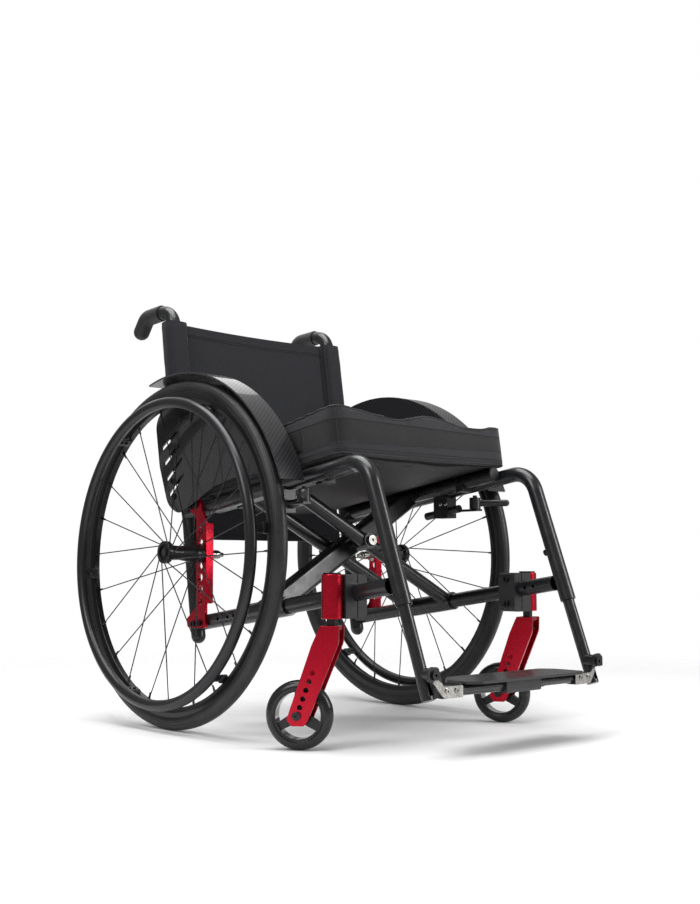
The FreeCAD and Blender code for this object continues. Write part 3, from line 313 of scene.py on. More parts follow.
class Paint:
    """A material's node tree, built with short calls."""

    def __init__(self, name, colour, roughness, metallic=0.0, coat=0.0, specular=0.5):
        self.material = bpy.data.materials.new(name)
        self.material.use_nodes = True
        self.tree = self.material.node_tree
        self.shader = self.tree.nodes["Principled BSDF"]
        self.set("Base Color", (*colour, 1.0))
        self.set("Roughness", roughness)
        self.set("Metallic", metallic)
        self.set("Coat Weight", coat)
        self.set("Coat Roughness", 0.12)
        self.set("Specular IOR Level", specular)
        self.normal = None

    def set(self, socket, value):
        self.shader.inputs[socket].default_value = value

    def node(self, kind, **settings):
        made = self.tree.nodes.new(kind)
        for name, value in settings.items():
            setattr(made, name, value)
        return made

    def link(self, start, end):
        self.tree.links.new(start, end)

    def feed(self, socket, value):
        if isinstance(value, bpy.types.NodeSocket):
            self.link(value, socket)
        else:
            socket.default_value = value

    def math(self, operation, first, second=0.0):
        made = self.node("ShaderNodeMath", operation=operation)
        self.feed(made.inputs[0], first)
        self.feed(made.inputs[1], second)
        return made.outputs[0]

    def ridges(self, value, factor):
        """Rounded ridges, from the sine of value times factor."""
        return self.math("ABSOLUTE", self.math("SINE", self.math("MULTIPLY", value, factor)))

    def place(self):
        """The point on the object, in metres at rest."""
        return self.node("ShaderNodeTexCoord").outputs["Object"]

    def stored(self, name):
        return self.node("ShaderNodeAttribute", attribute_name=name).outputs["Vector"]

    def parts(self, vector):
        split = self.node("ShaderNodeSeparateXYZ")
        self.link(vector, split.inputs[0])
        return split.outputs

    def noise(self, vector, scale, detail=3.0, roughness=0.5):
        made = self.node("ShaderNodeTexNoise")
        self.link(vector, made.inputs["Vector"])
        made.inputs["Scale"].default_value = scale
        made.inputs["Detail"].default_value = detail
        made.inputs["Roughness"].default_value = roughness
        return made.outputs["Fac"]

    def range(self, value, low, high, from_low=0.0, from_high=1.0):
        made = self.node("ShaderNodeMapRange")
        self.link(value, made.inputs["Value"])
        made.inputs["From Min"].default_value = from_low
        made.inputs["From Max"].default_value = from_high
        made.inputs["To Min"].default_value = low
        made.inputs["To Max"].default_value = high
        return made.outputs["Result"]

    def mix(self, share, first, second):
        made = self.node("ShaderNodeMix", data_type="RGBA")
        self.feed(made.inputs[0], share)
        self.feed(made.inputs[6], (*first, 1.0) if isinstance(first, tuple) else first)
        self.feed(made.inputs[7], (*second, 1.0) if isinstance(second, tuple) else second)
        return made.outputs[2]

    def colour(self, value):
        self.link(value, self.shader.inputs["Base Color"])

    def roughness(self, value):
        self.link(value, self.shader.inputs["Roughness"])

    def rounded(self, radius):
        """Softens the light on hard edges."""
        made = self.node("ShaderNodeBevel", samples=4)
        made.inputs["Radius"].default_value = radius
        self.normal = made.outputs[0]
        self.link(self.normal, self.shader.inputs["Normal"])

    def bump(self, height, depth, strength=1.0):
        """Adds relief of that depth in metres."""
        made = self.node("ShaderNodeBump")
        made.inputs["Strength"].default_value = strength
        made.inputs["Distance"].default_value = depth
        self.link(height, made.inputs["Height"])
        if self.normal is not None:
            self.link(self.normal, made.inputs["Normal"])
        self.normal = made.outputs["Normal"]
        self.link(self.normal, self.shader.inputs["Normal"])


def powder_coat(name, colour, roughness):
    """Satin powder coat: fine orange peel, sparse metal flecks and slight changes of gloss."""
    paint = Paint(name, colour, roughness, metallic=0.25, coat=0.25)
    where = paint.place()
    paint.rounded(0.5 * MM)
    paint.roughness(paint.range(paint.noise(where, 60), roughness - 0.07, roughness + 0.07, 0.35, 0.65))
    fleck = paint.range(paint.noise(where, 4200, 1.0), 0.0, 1.0, 0.66, 0.74)
    bright = tuple(min(1.0, c * 3.2 + 0.02) for c in colour)
    paint.colour(paint.mix(fleck, colour, bright))
    paint.bump(paint.noise(where, 1500, 2.0), 0.05 * MM, 0.35)
    return paint.material


def anodised(name, colour, roughness, metallic=0.85):
    """Anodised aluminium: drawn grain along the height and a faint cloud in the dye."""
    paint = Paint(name, colour, roughness, metallic=metallic, coat=0.15)
    where = paint.place()
    paint.rounded(0.6 * MM)
    stretch = paint.node("ShaderNodeMapping")
    paint.link(where, stretch.inputs["Vector"])
    stretch.inputs["Scale"].default_value = (1.0, 1.0, 0.06)
    grain = paint.noise(stretch.outputs[0], 2600, 2.0)
    paint.roughness(paint.range(grain, roughness - 0.06, roughness + 0.08, 0.3, 0.7))
    cloud = paint.range(paint.noise(where, 28), 0.0, 1.0, 0.3, 0.7)
    deep = tuple(c * 0.93 for c in colour)
    paint.colour(paint.mix(cloud, deep, colour))
    paint.bump(grain, 0.01 * MM, 0.12)
    return paint.material


def steel(name, colour, roughness):
    paint = Paint(name, colour, roughness, metallic=1.0)
    where = paint.place()
    paint.rounded(0.3 * MM)
    paint.roughness(paint.range(paint.noise(where, 900, 4.0), roughness - 0.08, roughness + 0.12, 0.3, 0.7))
    tarnish = tuple(c * 0.7 for c in colour)
    paint.colour(paint.mix(paint.range(paint.noise(where, 140, 4.0), 0.0, 1.0, 0.4, 0.62), colour, tarnish))
    return paint.material


def rubber(name, colour, roughness, grain=0.12):
    """Moulded rubber: fine grain, and dust that dulls it in patches."""
    paint = Paint(name, colour, roughness, specular=0.45)
    where = paint.place()
    dust = paint.range(paint.noise(where, 18, 5.0), 0.0, 1.0, 0.42, 0.66)
    dusty = tuple(c * 1.5 + 0.006 for c in colour)
    paint.colour(paint.mix(dust, colour, dusty))
    paint.roughness(paint.range(paint.noise(where, 240, 3.0), roughness - 0.08, roughness + 0.1, 0.3, 0.7))
    paint.bump(paint.noise(where, 2600, 3.0), grain * MM, 0.3)
    return paint.material


def plastic(name, colour, roughness):
    """Moulded nylon with a fine spark-eroded texture."""
    paint = Paint(name, colour, roughness, specular=0.4)
    where = paint.place()
    paint.rounded(0.5 * MM)
    paint.roughness(paint.range(paint.noise(where, 320, 3.0), roughness - 0.05, roughness + 0.1, 0.3, 0.7))
    light = tuple(c * 1.35 for c in colour)
    paint.colour(paint.mix(paint.range(paint.noise(where, 40, 3.0), 0.0, 1.0, 0.35, 0.65), colour, light))
    paint.bump(paint.noise(where, 3000, 2.0), 0.03 * MM, 0.2)
    return paint.material


def carbon(name):
    """Two-over-two carbon twill under clear gloss, laid flat on the guard and round the fender."""
    paint = Paint(name, (0.02, 0.02, 0.022), 0.32, metallic=0.35, coat=1.0)
    paint.set("Coat Roughness", 0.06)
    where = paint.parts(paint.place())
    normal = paint.parts(paint.node("ShaderNodeTexCoord").outputs["Normal"])
    wheel = joint_frame("left_wheel_spin").translation
    from_axle_y = paint.math("SUBTRACT", where[1], wheel.y)
    from_axle_z = paint.math("SUBTRACT", where[2], wheel.z)
    arc = paint.math("MULTIPLY", paint.math("ARCTAN2", from_axle_y, from_axle_z), reach_of_fender())
    flat = paint.math("GREATER_THAN", paint.math("ABSOLUTE", normal[0]), 0.7)

    def choose(on_panel, on_fender):
        made = paint.node("ShaderNodeMix", data_type="FLOAT")
        paint.link(flat, made.inputs[0])
        paint.link(on_fender, made.inputs[2])
        paint.link(on_panel, made.inputs[3])
        return made.outputs[0]

    tow = 2.0 * MM
    across = paint.math("DIVIDE", choose(where[1], where[0]), tow)
    along = paint.math("DIVIDE", choose(where[2], arc), tow)
    step = paint.math("SUBTRACT", paint.math("FLOOR", across), paint.math("FLOOR", along))
    over = paint.math("LESS_THAN", paint.math("FLOORED_MODULO", step, 4.0), 1.5)
    warp = (0.034, 0.035, 0.038)
    weft = (0.007, 0.007, 0.008)
    paint.colour(paint.mix(over, weft, warp))
    paint.roughness(paint.range(over, 0.40, 0.30))
    relief = paint.math("ADD", paint.ridges(across, math.pi), paint.ridges(along, math.pi))
    paint.bump(relief, 0.04 * MM, 0.25)
    return paint.material


def reach_of_fender():
    return reach("side_guard_left", joint_frame("left_wheel_spin"))[1]


def cloth(name, colour, thread, roughness=0.8, sheen=0.25, ribs=None, band=None):
    """Woven cloth on a piece that stores "cloth": two places along the threads and the height on the side.

    ribs is the spacing of a knit's columns. band is (colour, bottom, top, narrowing): a darker mesh strip."""
    paint = Paint(name, colour, roughness, specular=0.25)
    paint.set("Sheen Weight", sheen)
    paint.set("Sheen Roughness", 0.5)
    where = paint.parts(paint.stored("cloth"))
    turn = math.pi / thread
    first = paint.math("SINE", paint.math("MULTIPLY", where[0], turn))
    second = paint.math("SINE", paint.math("MULTIPLY", where[1], turn))
    weave = paint.math("MULTIPLY", first, second)
    slub = paint.noise(paint.stored("cloth"), 300, 4.0)
    shade = paint.range(paint.math("ADD", paint.math("MULTIPLY", weave, 0.35), slub), 0.0, 1.0, 0.2, 0.85)
    dark = tuple(c * 0.55 for c in colour)
    light = tuple(c * 1.5 for c in colour)
    tone = paint.mix(shade, dark, light)
    relief = weave
    if ribs:
        rib = paint.ridges(where[0], math.pi / ribs)
        relief = paint.math("ADD", relief, paint.math("MULTIPLY", rib, 1.5))
    if band:
        strip_colour, bottom, top, narrowing = band
        side = paint.parts(paint.stored("side"))
        edge = paint.math("MULTIPLY", side[1], narrowing)
        above = paint.math("GREATER_THAN", side[0], paint.math("ADD", edge, bottom))
        below = paint.math("LESS_THAN", side[0], paint.math("SUBTRACT", top, edge))
        on_strip = paint.math("MULTIPLY", paint.math("MULTIPLY", above, below), side[2])
        column = paint.ridges(where[0], math.pi / (3.4 * MM))
        row = paint.ridges(where[1], math.pi / (1.3 * MM))
        mesh = paint.math("MULTIPLY", column, row)
        knit = paint.mix(mesh, tuple(c * 0.4 for c in strip_colour), strip_colour)
        tone = paint.mix(on_strip, tone, knit)
        extra = paint.math("MULTIPLY", paint.math("MULTIPLY", mesh, on_strip), 2.5)
        relief = paint.math("ADD", relief, extra)
    paint.colour(tone)
    paint.bump(relief, 0.12 * MM, 0.5)
    paint.bump(paint.noise(paint.place(), 35, 3.0), 1.6 * MM, 0.25)
    return paint.material


BAND_LOW, BAND_HIGH, BAND_LEAN = 0.30, 0.74, 0.05  # the mesh strip on the cushion, as shares of its height

MATERIALS = {
    "frame_black": powder_coat("frame_powder_coat", (0.009, 0.0094, 0.0108), 0.34),
    "anodised_red": anodised("red_anodised", (0.50, 0.004, 0.022), 0.27),
    "clamp_black": powder_coat("clamp_matt_black", (0.014, 0.014, 0.016), 0.5),
    "grip_rubber": rubber("grip_rubber", (0.018, 0.018, 0.019), 0.55),
    "tyre_rubber": rubber("tyre_rubber", (0.009, 0.009, 0.0095), 0.46),
    "rim_black": anodised("rim_anodised", (0.012, 0.012, 0.013), 0.34, 0.5),
    "handrim_black": anodised("handrim_anodised", (0.022, 0.022, 0.024), 0.33, 0.6),
    "hub_black": anodised("hub_anodised", (0.012, 0.012, 0.013), 0.36, 0.5),
    "spoke_steel": steel("spoke_wire", (0.05, 0.05, 0.055), 0.3),
    "carbon": carbon("carbon_twill"),
    "bright_steel": steel("plated_steel", (0.46, 0.45, 0.42), 0.24),
    "dark_steel": steel("black_steel", (0.05, 0.05, 0.053), 0.32),
    "black_plastic": plastic("black_nylon", (0.014, 0.014, 0.015), 0.45),
    "caster_rubber": plastic("caster_rubber", (0.008, 0.008, 0.0085), 0.24),
    "caster_rim": plastic("caster_moulding", (0.007, 0.007, 0.0075), 0.24),
    "footplate_carbon": powder_coat("footplate_coat", (0.022, 0.022, 0.024), 0.42),
}
POLISHED = steel("polished_aluminium", (0.80, 0.80, 0.82), 0.14)
CAP_GREY = plastic("cap_grey", (0.09, 0.09, 0.095), 0.4)
BACK_CLOTH = cloth("back_weave", (0.0105, 0.0108, 0.0145), 0.9 * MM, sheen=0.12)
SLING_CLOTH = cloth("sling_weave", (0.0032, 0.0033, 0.0042), 0.6 * MM, roughness=0.55, sheen=0.03)
COVER_CLOTH = cloth("cushion_cover", (0.0165, 0.0162, 0.0195), 0.8 * MM, ribs=1.6 * MM,
                    band=((0.0095, 0.0095, 0.0105), BAND_LOW, BAND_HIGH, BAND_LEAN))
THREAD = plastic("sewing_thread", (0.016, 0.016, 0.018), 0.7)
# near-black material for the tube along each back sleeve's seam: painted shade for the gap between sleeve and
# panel
SEAM_SHADE_PAINT = rubber("seam_shadow", (0.0015, 0.0015, 0.0016), 0.95)
PIPING = rubber("piping_tape", (0.011, 0.011, 0.012), 0.62)

for row in frame["record"]["subparts"]:
    shown = NODES[row["node"]].data
    if row["material_slot"] in MATERIALS:
        shown.materials.clear()
        shown.materials.append(MATERIALS[row["material_slot"]])


def ride(piece, body):
    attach(piece, body)
    return piece


# ------------------------ rear wheels


GROOVE_DEPTH = 0.35 * MM
GROOVE_HALF = 1.6  # degrees round the tyre's section
TREAD_GROOVES = (30, 52, 74, 98)  # degrees from the crown, on each side
HANDRIM_TABS = 6
FIRST_TAB = 8  # degrees
HANDRIM_RADIUS = 9.5 * MM
SPOKES = 24


def section_arc(radius, centre, start, end, steps, grooves=()):
    """Points round a ring's section, dipped at each groove's angle in degrees."""
    points = []
    for i in range(steps + 1):
        angle = start + (end - start) * i / steps
        dip = sum(GROOVE_DEPTH for groove in grooves if abs(abs(angle) - groove) < GROOVE_HALF)
        size = radius - dip
        points.append((centre + size * math.cos(math.radians(angle)), size * math.sin(math.radians(angle))))
    return points


def rear_wheel(tag):
    place = joint_frame(f"{tag}_wheel_spin")
    bead, crown, low, high = reach(f"rear_tyre_{tag}", place)
    section = (high - low) / 2
    centre = crown - section
    body = f"{tag}_wheel"
    edge = math.degrees(math.acos((bead - centre) / section))
    profile = section_arc(section, centre, -edge, edge, 120, TREAD_GROOVES)
    tyre = turned(f"tyre_{tag}", profile, place, MATERIALS["tyre_rubber"], 288, 60)
    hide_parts(f"rear_tyre_{tag}")
    ride(tyre, body)

    _, outer, _, high = reach(f"handrim_{tag}", place)
    ring_profile = section_arc(HANDRIM_RADIUS, outer - HANDRIM_RADIUS, 0, 345, 23)
    ring_place = place @ Matrix.Translation((0, high - HANDRIM_RADIUS, 0))
    ring = turned(f"handrim_ring_{tag}", ring_profile, ring_place, MATERIALS["handrim_black"], 288, 80)
    tabs = [ring]
    bolts = []
    rim_inner = reach(f"rear_rim_{tag}", place)[0]
    for i in range(HANDRIM_TABS):
        turn = place @ Matrix.Rotation(math.radians(360 / HANDRIM_TABS * i + FIRST_TAB), 4, "Y")
        stem = turn @ Matrix.Translation((rim_inner - 4.5 * MM, 16 * MM, 0))
        tabs.append(rounded_block(f"tab_{tag}_{i}", stem, (2 * MM, 14 * MM, 8 * MM), 1.2 * MM,
                                  MATERIALS["clamp_black"]))
        foot = turn @ Matrix.Translation((rim_inner - 2.4 * MM, 7 * MM, 0))
        tabs.append(rounded_block(f"foot_{tag}_{i}", foot, (2.4 * MM, 4.5 * MM, 9 * MM), 1.2 * MM,
                                  MATERIALS["clamp_black"]))
        for row in (11, 21):
            start = turn @ Vector((rim_inner - 6.4 * MM, row * MM, 0))
            end = turn @ Vector((rim_inner - 9.0 * MM, row * MM, 0))
            name = f"tab_bolt_{tag}_{i}_{row}"
            bolts.append(rod(name, start, end, 2.7 * MM, MATERIALS["dark_steel"], 16, 0.5 * MM))
    handrim = joined(f"push_rim_{tag}", tabs)
    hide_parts(f"handrim_{tag}")
    ride(handrim, body)
    ride(joined(f"push_rim_bolts_{tag}", bolts), body)

    nipples = []
    for i in range(SPOKES):
        turn = 2 * math.pi * i / SPOKES
        outward = Vector((math.cos(turn), 0, math.sin(turn)))
        offset = Y * (2 * MM if i % 2 == 0 else -2 * MM)
        start = place @ (outward * (rim_inner + 0.5 * MM) + offset)
        end = place @ (outward * (rim_inner - 11 * MM) + offset)
        nipples.append(tube(f"nipple_{tag}_{i}", [start, start.lerp(end, 0.35), end],
                            [2.3 * MM, 2.0 * MM, 1.6 * MM], MATERIALS["dark_steel"], 10))
    ride(joined(f"spoke_nipples_{tag}", nipples), body)
    # the valve stands midway between two spokes
    turn = 2 * math.pi * 6.5 / SPOKES
    outward = Vector((math.cos(turn), 0, math.sin(turn)))
    stem = [place @ (outward * (rim_inner - far * MM)) for far in (-0.5, 6, 6.5, 24, 25, 33)]
    valve = tube(f"valve_{tag}", stem, [4 * MM, 4 * MM, 3 * MM, 3 * MM, 3.6 * MM, 3.1 * MM],
                 MATERIALS["black_plastic"], 16)
    ride(valve, body)


for tag in SIDES:
    rear_wheel(tag)

# ------------------------ casters


BARREL_DEPTH = 4.5 * MM  # the barrel's wall, in from the rim's edge


def caster(tag):
    """The rim's barrel is polished inside, between three black blades."""
    place = joint_frame(f"{tag}_caster_spin")
    rim = NODES[f"caster_rim_{tag}"].data
    rim.materials.append(POLISHED)
    outer = reach(f"caster_rim_{tag}", place)[1]
    inverse = place.inverted()
    for polygon in rim.polygons:
        middle = inverse @ polygon.center
        radius = math.hypot(middle.x, middle.z)
        facing = inverse.to_3x3() @ polygon.normal
        inward = -(facing.x * middle.x + facing.z * middle.z) / max(radius, 1e-6)
        if radius > outer - BARREL_DEPTH and inward > 0.5:
            polygon.material_index = 1


for tag in SIDES:
    caster(tag)

# ------------------------ bright hardware


def plate_faces(node, chosen):
    """Gives the bright metal to the faces of a node whose middles are chosen."""
    mesh = NODES[node].data
    mesh.materials.append(MATERIALS["bright_steel"])
    last = len(mesh.materials) - 1
    for polygon in mesh.polygons:
        if chosen(polygon.center):
            polygon.material_index = last


RECEIVER_RADIUS = 14 * MM
BRAKE_SCREWS = (2 * MM, 15 * MM)  # ahead of the clamp's middle


def hardware(tag, side):
    """The axle's receiver and the two screws in the brake's clamp."""
    bolts = f"frame_bolts_{tag}"
    to_axle = joint_frame(f"{tag}_wheel_spin").inverted()

    def on_axle(point):
        near = to_axle @ point
        return math.hypot(near.x, near.z) < RECEIVER_RADIUS

    plate_faces(bolts, on_axle)
    low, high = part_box(f"brake_mount_{tag}")
    face = low.x if side > 0 else high.x
    middle = (low.y + high.y) / 2
    screws = []
    for ahead in BRAKE_SCREWS:
        seat = Vector((face + side * 0.5 * MM, middle - ahead, high.z - 15 * MM))
        screws.append(rod(f"brake_screw_{tag}_{len(screws)}", seat, seat - X * (side * 2.6 * MM), 4 * MM,
                          MATERIALS["bright_steel"], 20, 0.6 * MM))
    ride(joined(f"brake_screws_{tag}", screws), f"{tag}_frame")


for tag, side in SIDES.items():
    hardware(tag, side)
BRACKET_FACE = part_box("footrest_brackets")[0].y + 2.9 * MM
FLIP_HEIGHT = JOINTS["footplate_flip"]["pos_m"][2]


def on_rivet(point):
    return point.y < BRACKET_FACE and point.z < FLIP_HEIGHT - 8 * MM


plate_faces("footrest_brackets", on_rivet)

# ------------------------ cushion


def smooth_line(pairs, x):
    """A smooth curve through pairs, at x."""
    keys, values = zip(*pairs)
    fine = np.linspace(keys[0], keys[-1], 161)
    level = np.interp(fine, keys, values)
    window = np.hanning(17)
    padded_level = np.pad(level, 8, mode="edge")
    return float(np.interp(x, fine, np.convolve(padded_level, window / window.sum(), mode="valid")))


LIP_HEIGHT = 0.13  # the lowest seam, as a share of the cushion's height

# share of the full height along the front's top edge, from the right side to the left
CREST = [(-1.0, 1.08), (-0.88, 1.075), (-0.64, 0.97), (-0.42, 0.885), (-0.26, 0.875), (-0.10, 0.98),
         (0.02, 1.06), (0.14, 1.04), (0.32, 0.93), (0.50, 0.845), (0.66, 0.84), (0.84, 0.93), (1.0, 0.945)]


def swell(obj, pins, pressure=4.0, cap=5 * MM, frames=20):
    """Cloth simulation with air pressure, held at the pins; no point moves further than cap."""
    scene = bpy.context.scene
    rest = places(obj)
    group = obj.vertex_groups.new(name="seams")
    for index, weight in enumerate(pins):
        if weight > 0.01:
            group.add([index], float(weight), "REPLACE")
    cloth_modifier = obj.modifiers.new("cover", "CLOTH")
    settings = cloth_modifier.settings
    settings.quality = 5
    settings.mass = 0.3
    settings.tension_stiffness = 20
    settings.compression_stiffness = 20
    settings.bending_stiffness = 0.6
    settings.use_pressure = True
    settings.uniform_pressure_force = pressure
    settings.effector_weights.gravity = 0
    settings.vertex_group_mass = "seams"
    cloth_modifier.point_cache.frame_start = 1
    cloth_modifier.point_cache.frame_end = frames
    for step in range(1, frames + 1):
        scene.frame_set(step)
    moved = places(obj.evaluated_get(bpy.context.evaluated_depsgraph_get()))
    obj.modifiers.remove(cloth_modifier)
    scene.frame_set(1)
    shift = moved - rest
    size = np.linalg.norm(shift, axis=1, keepdims=True)
    shift *= np.minimum(1.0, cap / np.maximum(size, 1e-9))
    obj.data.vertices.foreach_set("co", (rest + shift).astype(np.float32).ravel())
    obj.data.update()


def cushion_form():
    """Closed form of the cushion: plan with rounded corners, waved top, upright sides."""
    low, high = seat_span("seat_cushion")
    half = (high[0] - low[0]) / 2
    front, rear = high[1] - 3 * MM, low[1] + 3 * MM
    bottom, top = low[2] - 1.5 * MM, high[2] - 3 * MM
    tall = top - bottom
    corner = 20 * MM
    across, deep = 44, 44
    middle = (front + rear) / 2
    half_deep = (front - rear) / 2

    def plan(a, b):
        """The plan's point for a and b from -1 to 1, with the square's corners rounded."""
        x, f = a * half, b * half_deep
        over_x, over_f = abs(x) - (half - corner), abs(f) - (half_deep - corner)
        if over_x > 0 and over_f > 0:
            far = math.hypot(over_x, over_f)
            reach_now = max(over_x, over_f)
            x = math.copysign(half - corner + over_x * reach_now / far, x)
            f = math.copysign(half_deep - corner + over_f * reach_now / far, f)
        return x, middle + f

    def height(a, b):
        """Top's height: the front's wave fades to a shallow dish behind."""
        crest = smooth_line(CREST, a)
        dish = 0.93 - 0.10 * (1 - a * a) * (1 - b * b)
        share = max(0.0, min(1.0, (b + 0.55) / 1.4)) ** 1.3
        return tall * (crest * share + dish * (1 - share))

    vertices = []
    for level in (0, 1):
        for i in range(across + 1):
            for k in range(deep + 1):
                a, b = 2 * i / across - 1, 2 * k / deep - 1
                x, f = plan(a, b)
                up = bottom + (height(a, b) if level else 0)
                vertices.append(seat_point(x, f, up))
    faces = []
    wide = deep + 1
    total = (across + 1) * wide
    for i in range(across):
        for k in range(deep):
            a = i * wide + k
            faces.append((a, a + 1, a + wide + 1, a + wide))
            faces.append((total + a, total + a + wide, total + a + wide + 1, total + a + 1))
    rim = [i * wide for i in range(across + 1)]
    rim += [across * wide + k for k in range(1, deep + 1)]
    rim += [i * wide + deep for i in range(across - 1, -1, -1)]
    rim += [k for k in range(deep - 1, 0, -1)]
    for start, end in zip(rim, rim[1:] + rim[:1]):
        faces.append((start, end, total + end, total + start))
    form = mesh_object("seat_cushion_cover", vertices, faces, COVER_CLOTH)
    edge_paths = [[vertices[shift + index] for index in rim] for shift in (0, total)]
    return form, edge_paths, (half, front, rear, bottom, tall)


def settle(obj, modifier):
    """Puts a modifier's result in place of the object's mesh."""
    baked = bpy.data.meshes.new_from_object(obj.evaluated_get(bpy.context.evaluated_depsgraph_get()))
    obj.modifiers.remove(modifier)
    obj.data = baked


def remesh(obj, voxel):
    modifier = obj.modifiers.new("skin", "REMESH")
    modifier.mode = "VOXEL"
    modifier.voxel_size = voxel
    modifier.use_smooth_shade = True
    settle(obj, modifier)


def subdivided(obj):
    modifier = obj.modifiers.new("finer", "SUBSURF")
    modifier.levels = 1
    settle(obj, modifier)
    obj.data.shade_smooth()


def nearest(tree, path, lift):
    """The path laid on a surface, lifted off it by lift."""
    laid = []
    for point in path:
        place, normal, _, _ = tree.find_nearest(point)
        laid.append(place + normal * lift)
    return laid


def spread(path, spacing, closed=True):
    """Points at an even spacing along a path."""
    points = [Vector(p) for p in path]
    if closed:
        points.append(points[0])
    lengths = np.concatenate([[0], np.cumsum([(b - a).length for a, b in zip(points, points[1:])])])
    count = max(4, int(lengths[-1] / spacing))
    stops = np.linspace(0, lengths[-1], count, endpoint=not closed)
    array = np.array(points, float)
    return [Vector([np.interp(stop, lengths, array[:, axis]) for axis in range(3)]) for stop in stops]


def rail_line():
    """Middles of the two rails, where the seat's fabric starts and ends to bend."""
    low, high = seat_span("seat_rail_left")
    across, up = (low[0] + high[0]) / 2, (low[2] + high[2]) / 2
    forward = (low[1] + high[1]) / 2
    return across, forward, up, (high[0] - low[0]) / 2


def bend_with_seat(piece):
    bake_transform(piece)


def seat_places(obj):
    return places(obj) @ np.array(SEAT).T


def cushion():
    form, edge_paths, (half, front, rear, bottom, tall) = cushion_form()
    remesh(form, 5 * MM)
    tree_points = [np.array(spread(path, 4 * MM), float) for path in edge_paths]
    seams = np.concatenate(tree_points)
    points = places(form)
    nearest_seam = np.full(len(points), 1.0)
    for start in range(0, len(seams), 64):
        gap = np.linalg.norm(points[:, None, :] - seams[None, start:start + 64, :], axis=2).min(1)
        nearest_seam = np.minimum(nearest_seam, gap)
    swell(form, np.clip(1.2 - nearest_seam / (14 * MM), 0, 1))
    subdivided(form)
    seat = seat_places(form)
    facing = normals(form) @ np.array(SEAT).T
    on_side = np.clip((0.75 - np.abs(facing[:, 2])) * 4, 0, 1)
    along_front = np.abs(facing[:, 1]) > np.abs(facing[:, 0])
    across = np.where(on_side > 0.5, np.where(along_front, seat[:, 0], seat[:, 1]), seat[:, 0])
    other = np.where(on_side > 0.5, seat[:, 2], seat[:, 1])
    store(form, "cloth", np.stack([across, other, seat[:, 2]], 1))
    share = (seat[:, 2] - bottom) / tall
    store(form, "side", np.stack([share, seat[:, 0] / half, on_side], 1))
    form.data.materials.clear()
    form.data.materials.append(COVER_CLOTH)
    face_corners = [p.vertices for p in form.data.polygons]
    tree = BVHTree.FromPolygons([v.co for v in form.data.vertices], face_corners)
    cords = []
    for name, path in zip(("bottom", "top"), edge_paths):
        laid = nearest(tree, spread(path, 5 * MM), 0.3 * MM)
        cords.append(tube(f"cushion_piping_{name}", laid, 1.7 * MM, PIPING, 8, closed=True))
    # the band's edges and the lip seam run round the sides
    for name, share in (("lip", LIP_HEIGHT), ("low", BAND_LOW), ("high", BAND_HIGH)):
        path = []
        for point in spread(edge_paths[0], 5 * MM):
            across_share = point.x / half
            lean = BAND_LEAN * across_share * (1 if name == "low" else -1)
            path.append(point + SEAT_UP * (tall * (share + (lean if name != "lip" else 0))))
        laid = nearest(tree, path, -0.15 * MM)
        cords.append(tube(f"cushion_seam_{name}", laid, 0.75 * MM, THREAD, 6, closed=True))
    # upright seams at the four corners
    middle = (front + rear) / 2
    for x, f in ((-half, front), (half, front), (-half, rear), (half, rear)):
        inward = Vector((-math.copysign(6 * MM, x), 0, 0)) - FORWARD * math.copysign(6 * MM, f - middle)
        foot = seat_point(x, f, bottom) + inward
        path = [foot + SEAT_UP * (tall * i / 14 * 0.94 + 2 * MM) for i in range(15)]
        laid = nearest(tree, path, -0.1 * MM)
        cords.append(tube(f"cushion_corner_{len(cords)}", laid, 0.8 * MM, THREAD, 6))
    sewn = joined("cushion_seams", cords)
    # a plain sewn patch on each side, towards the back
    patches = []
    for way in (-1, 1):
        rows = []
        for i in range(9):
            row = []
            for k in range(13):
                f = front - (0.085 + 0.055 * k / 12)
                up = bottom + tall * (0.30 + 0.42 * i / 8)
                place, normal, _, _ = tree.find_nearest(seat_point(way * (half + 4 * MM), f, up))
                row.append(place + normal * 0.8 * MM)
            rows.append(row)
        patches.append(shell(f"cushion_patch_{way}", rows, 0.8 * MM, PIPING))
    patch = joined("cushion_patches", patches)
    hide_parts("seat_cushion")
    for piece in (form, sewn, patch):
        bend_with_seat(piece)


cushion()

# ------------------------ sling seat


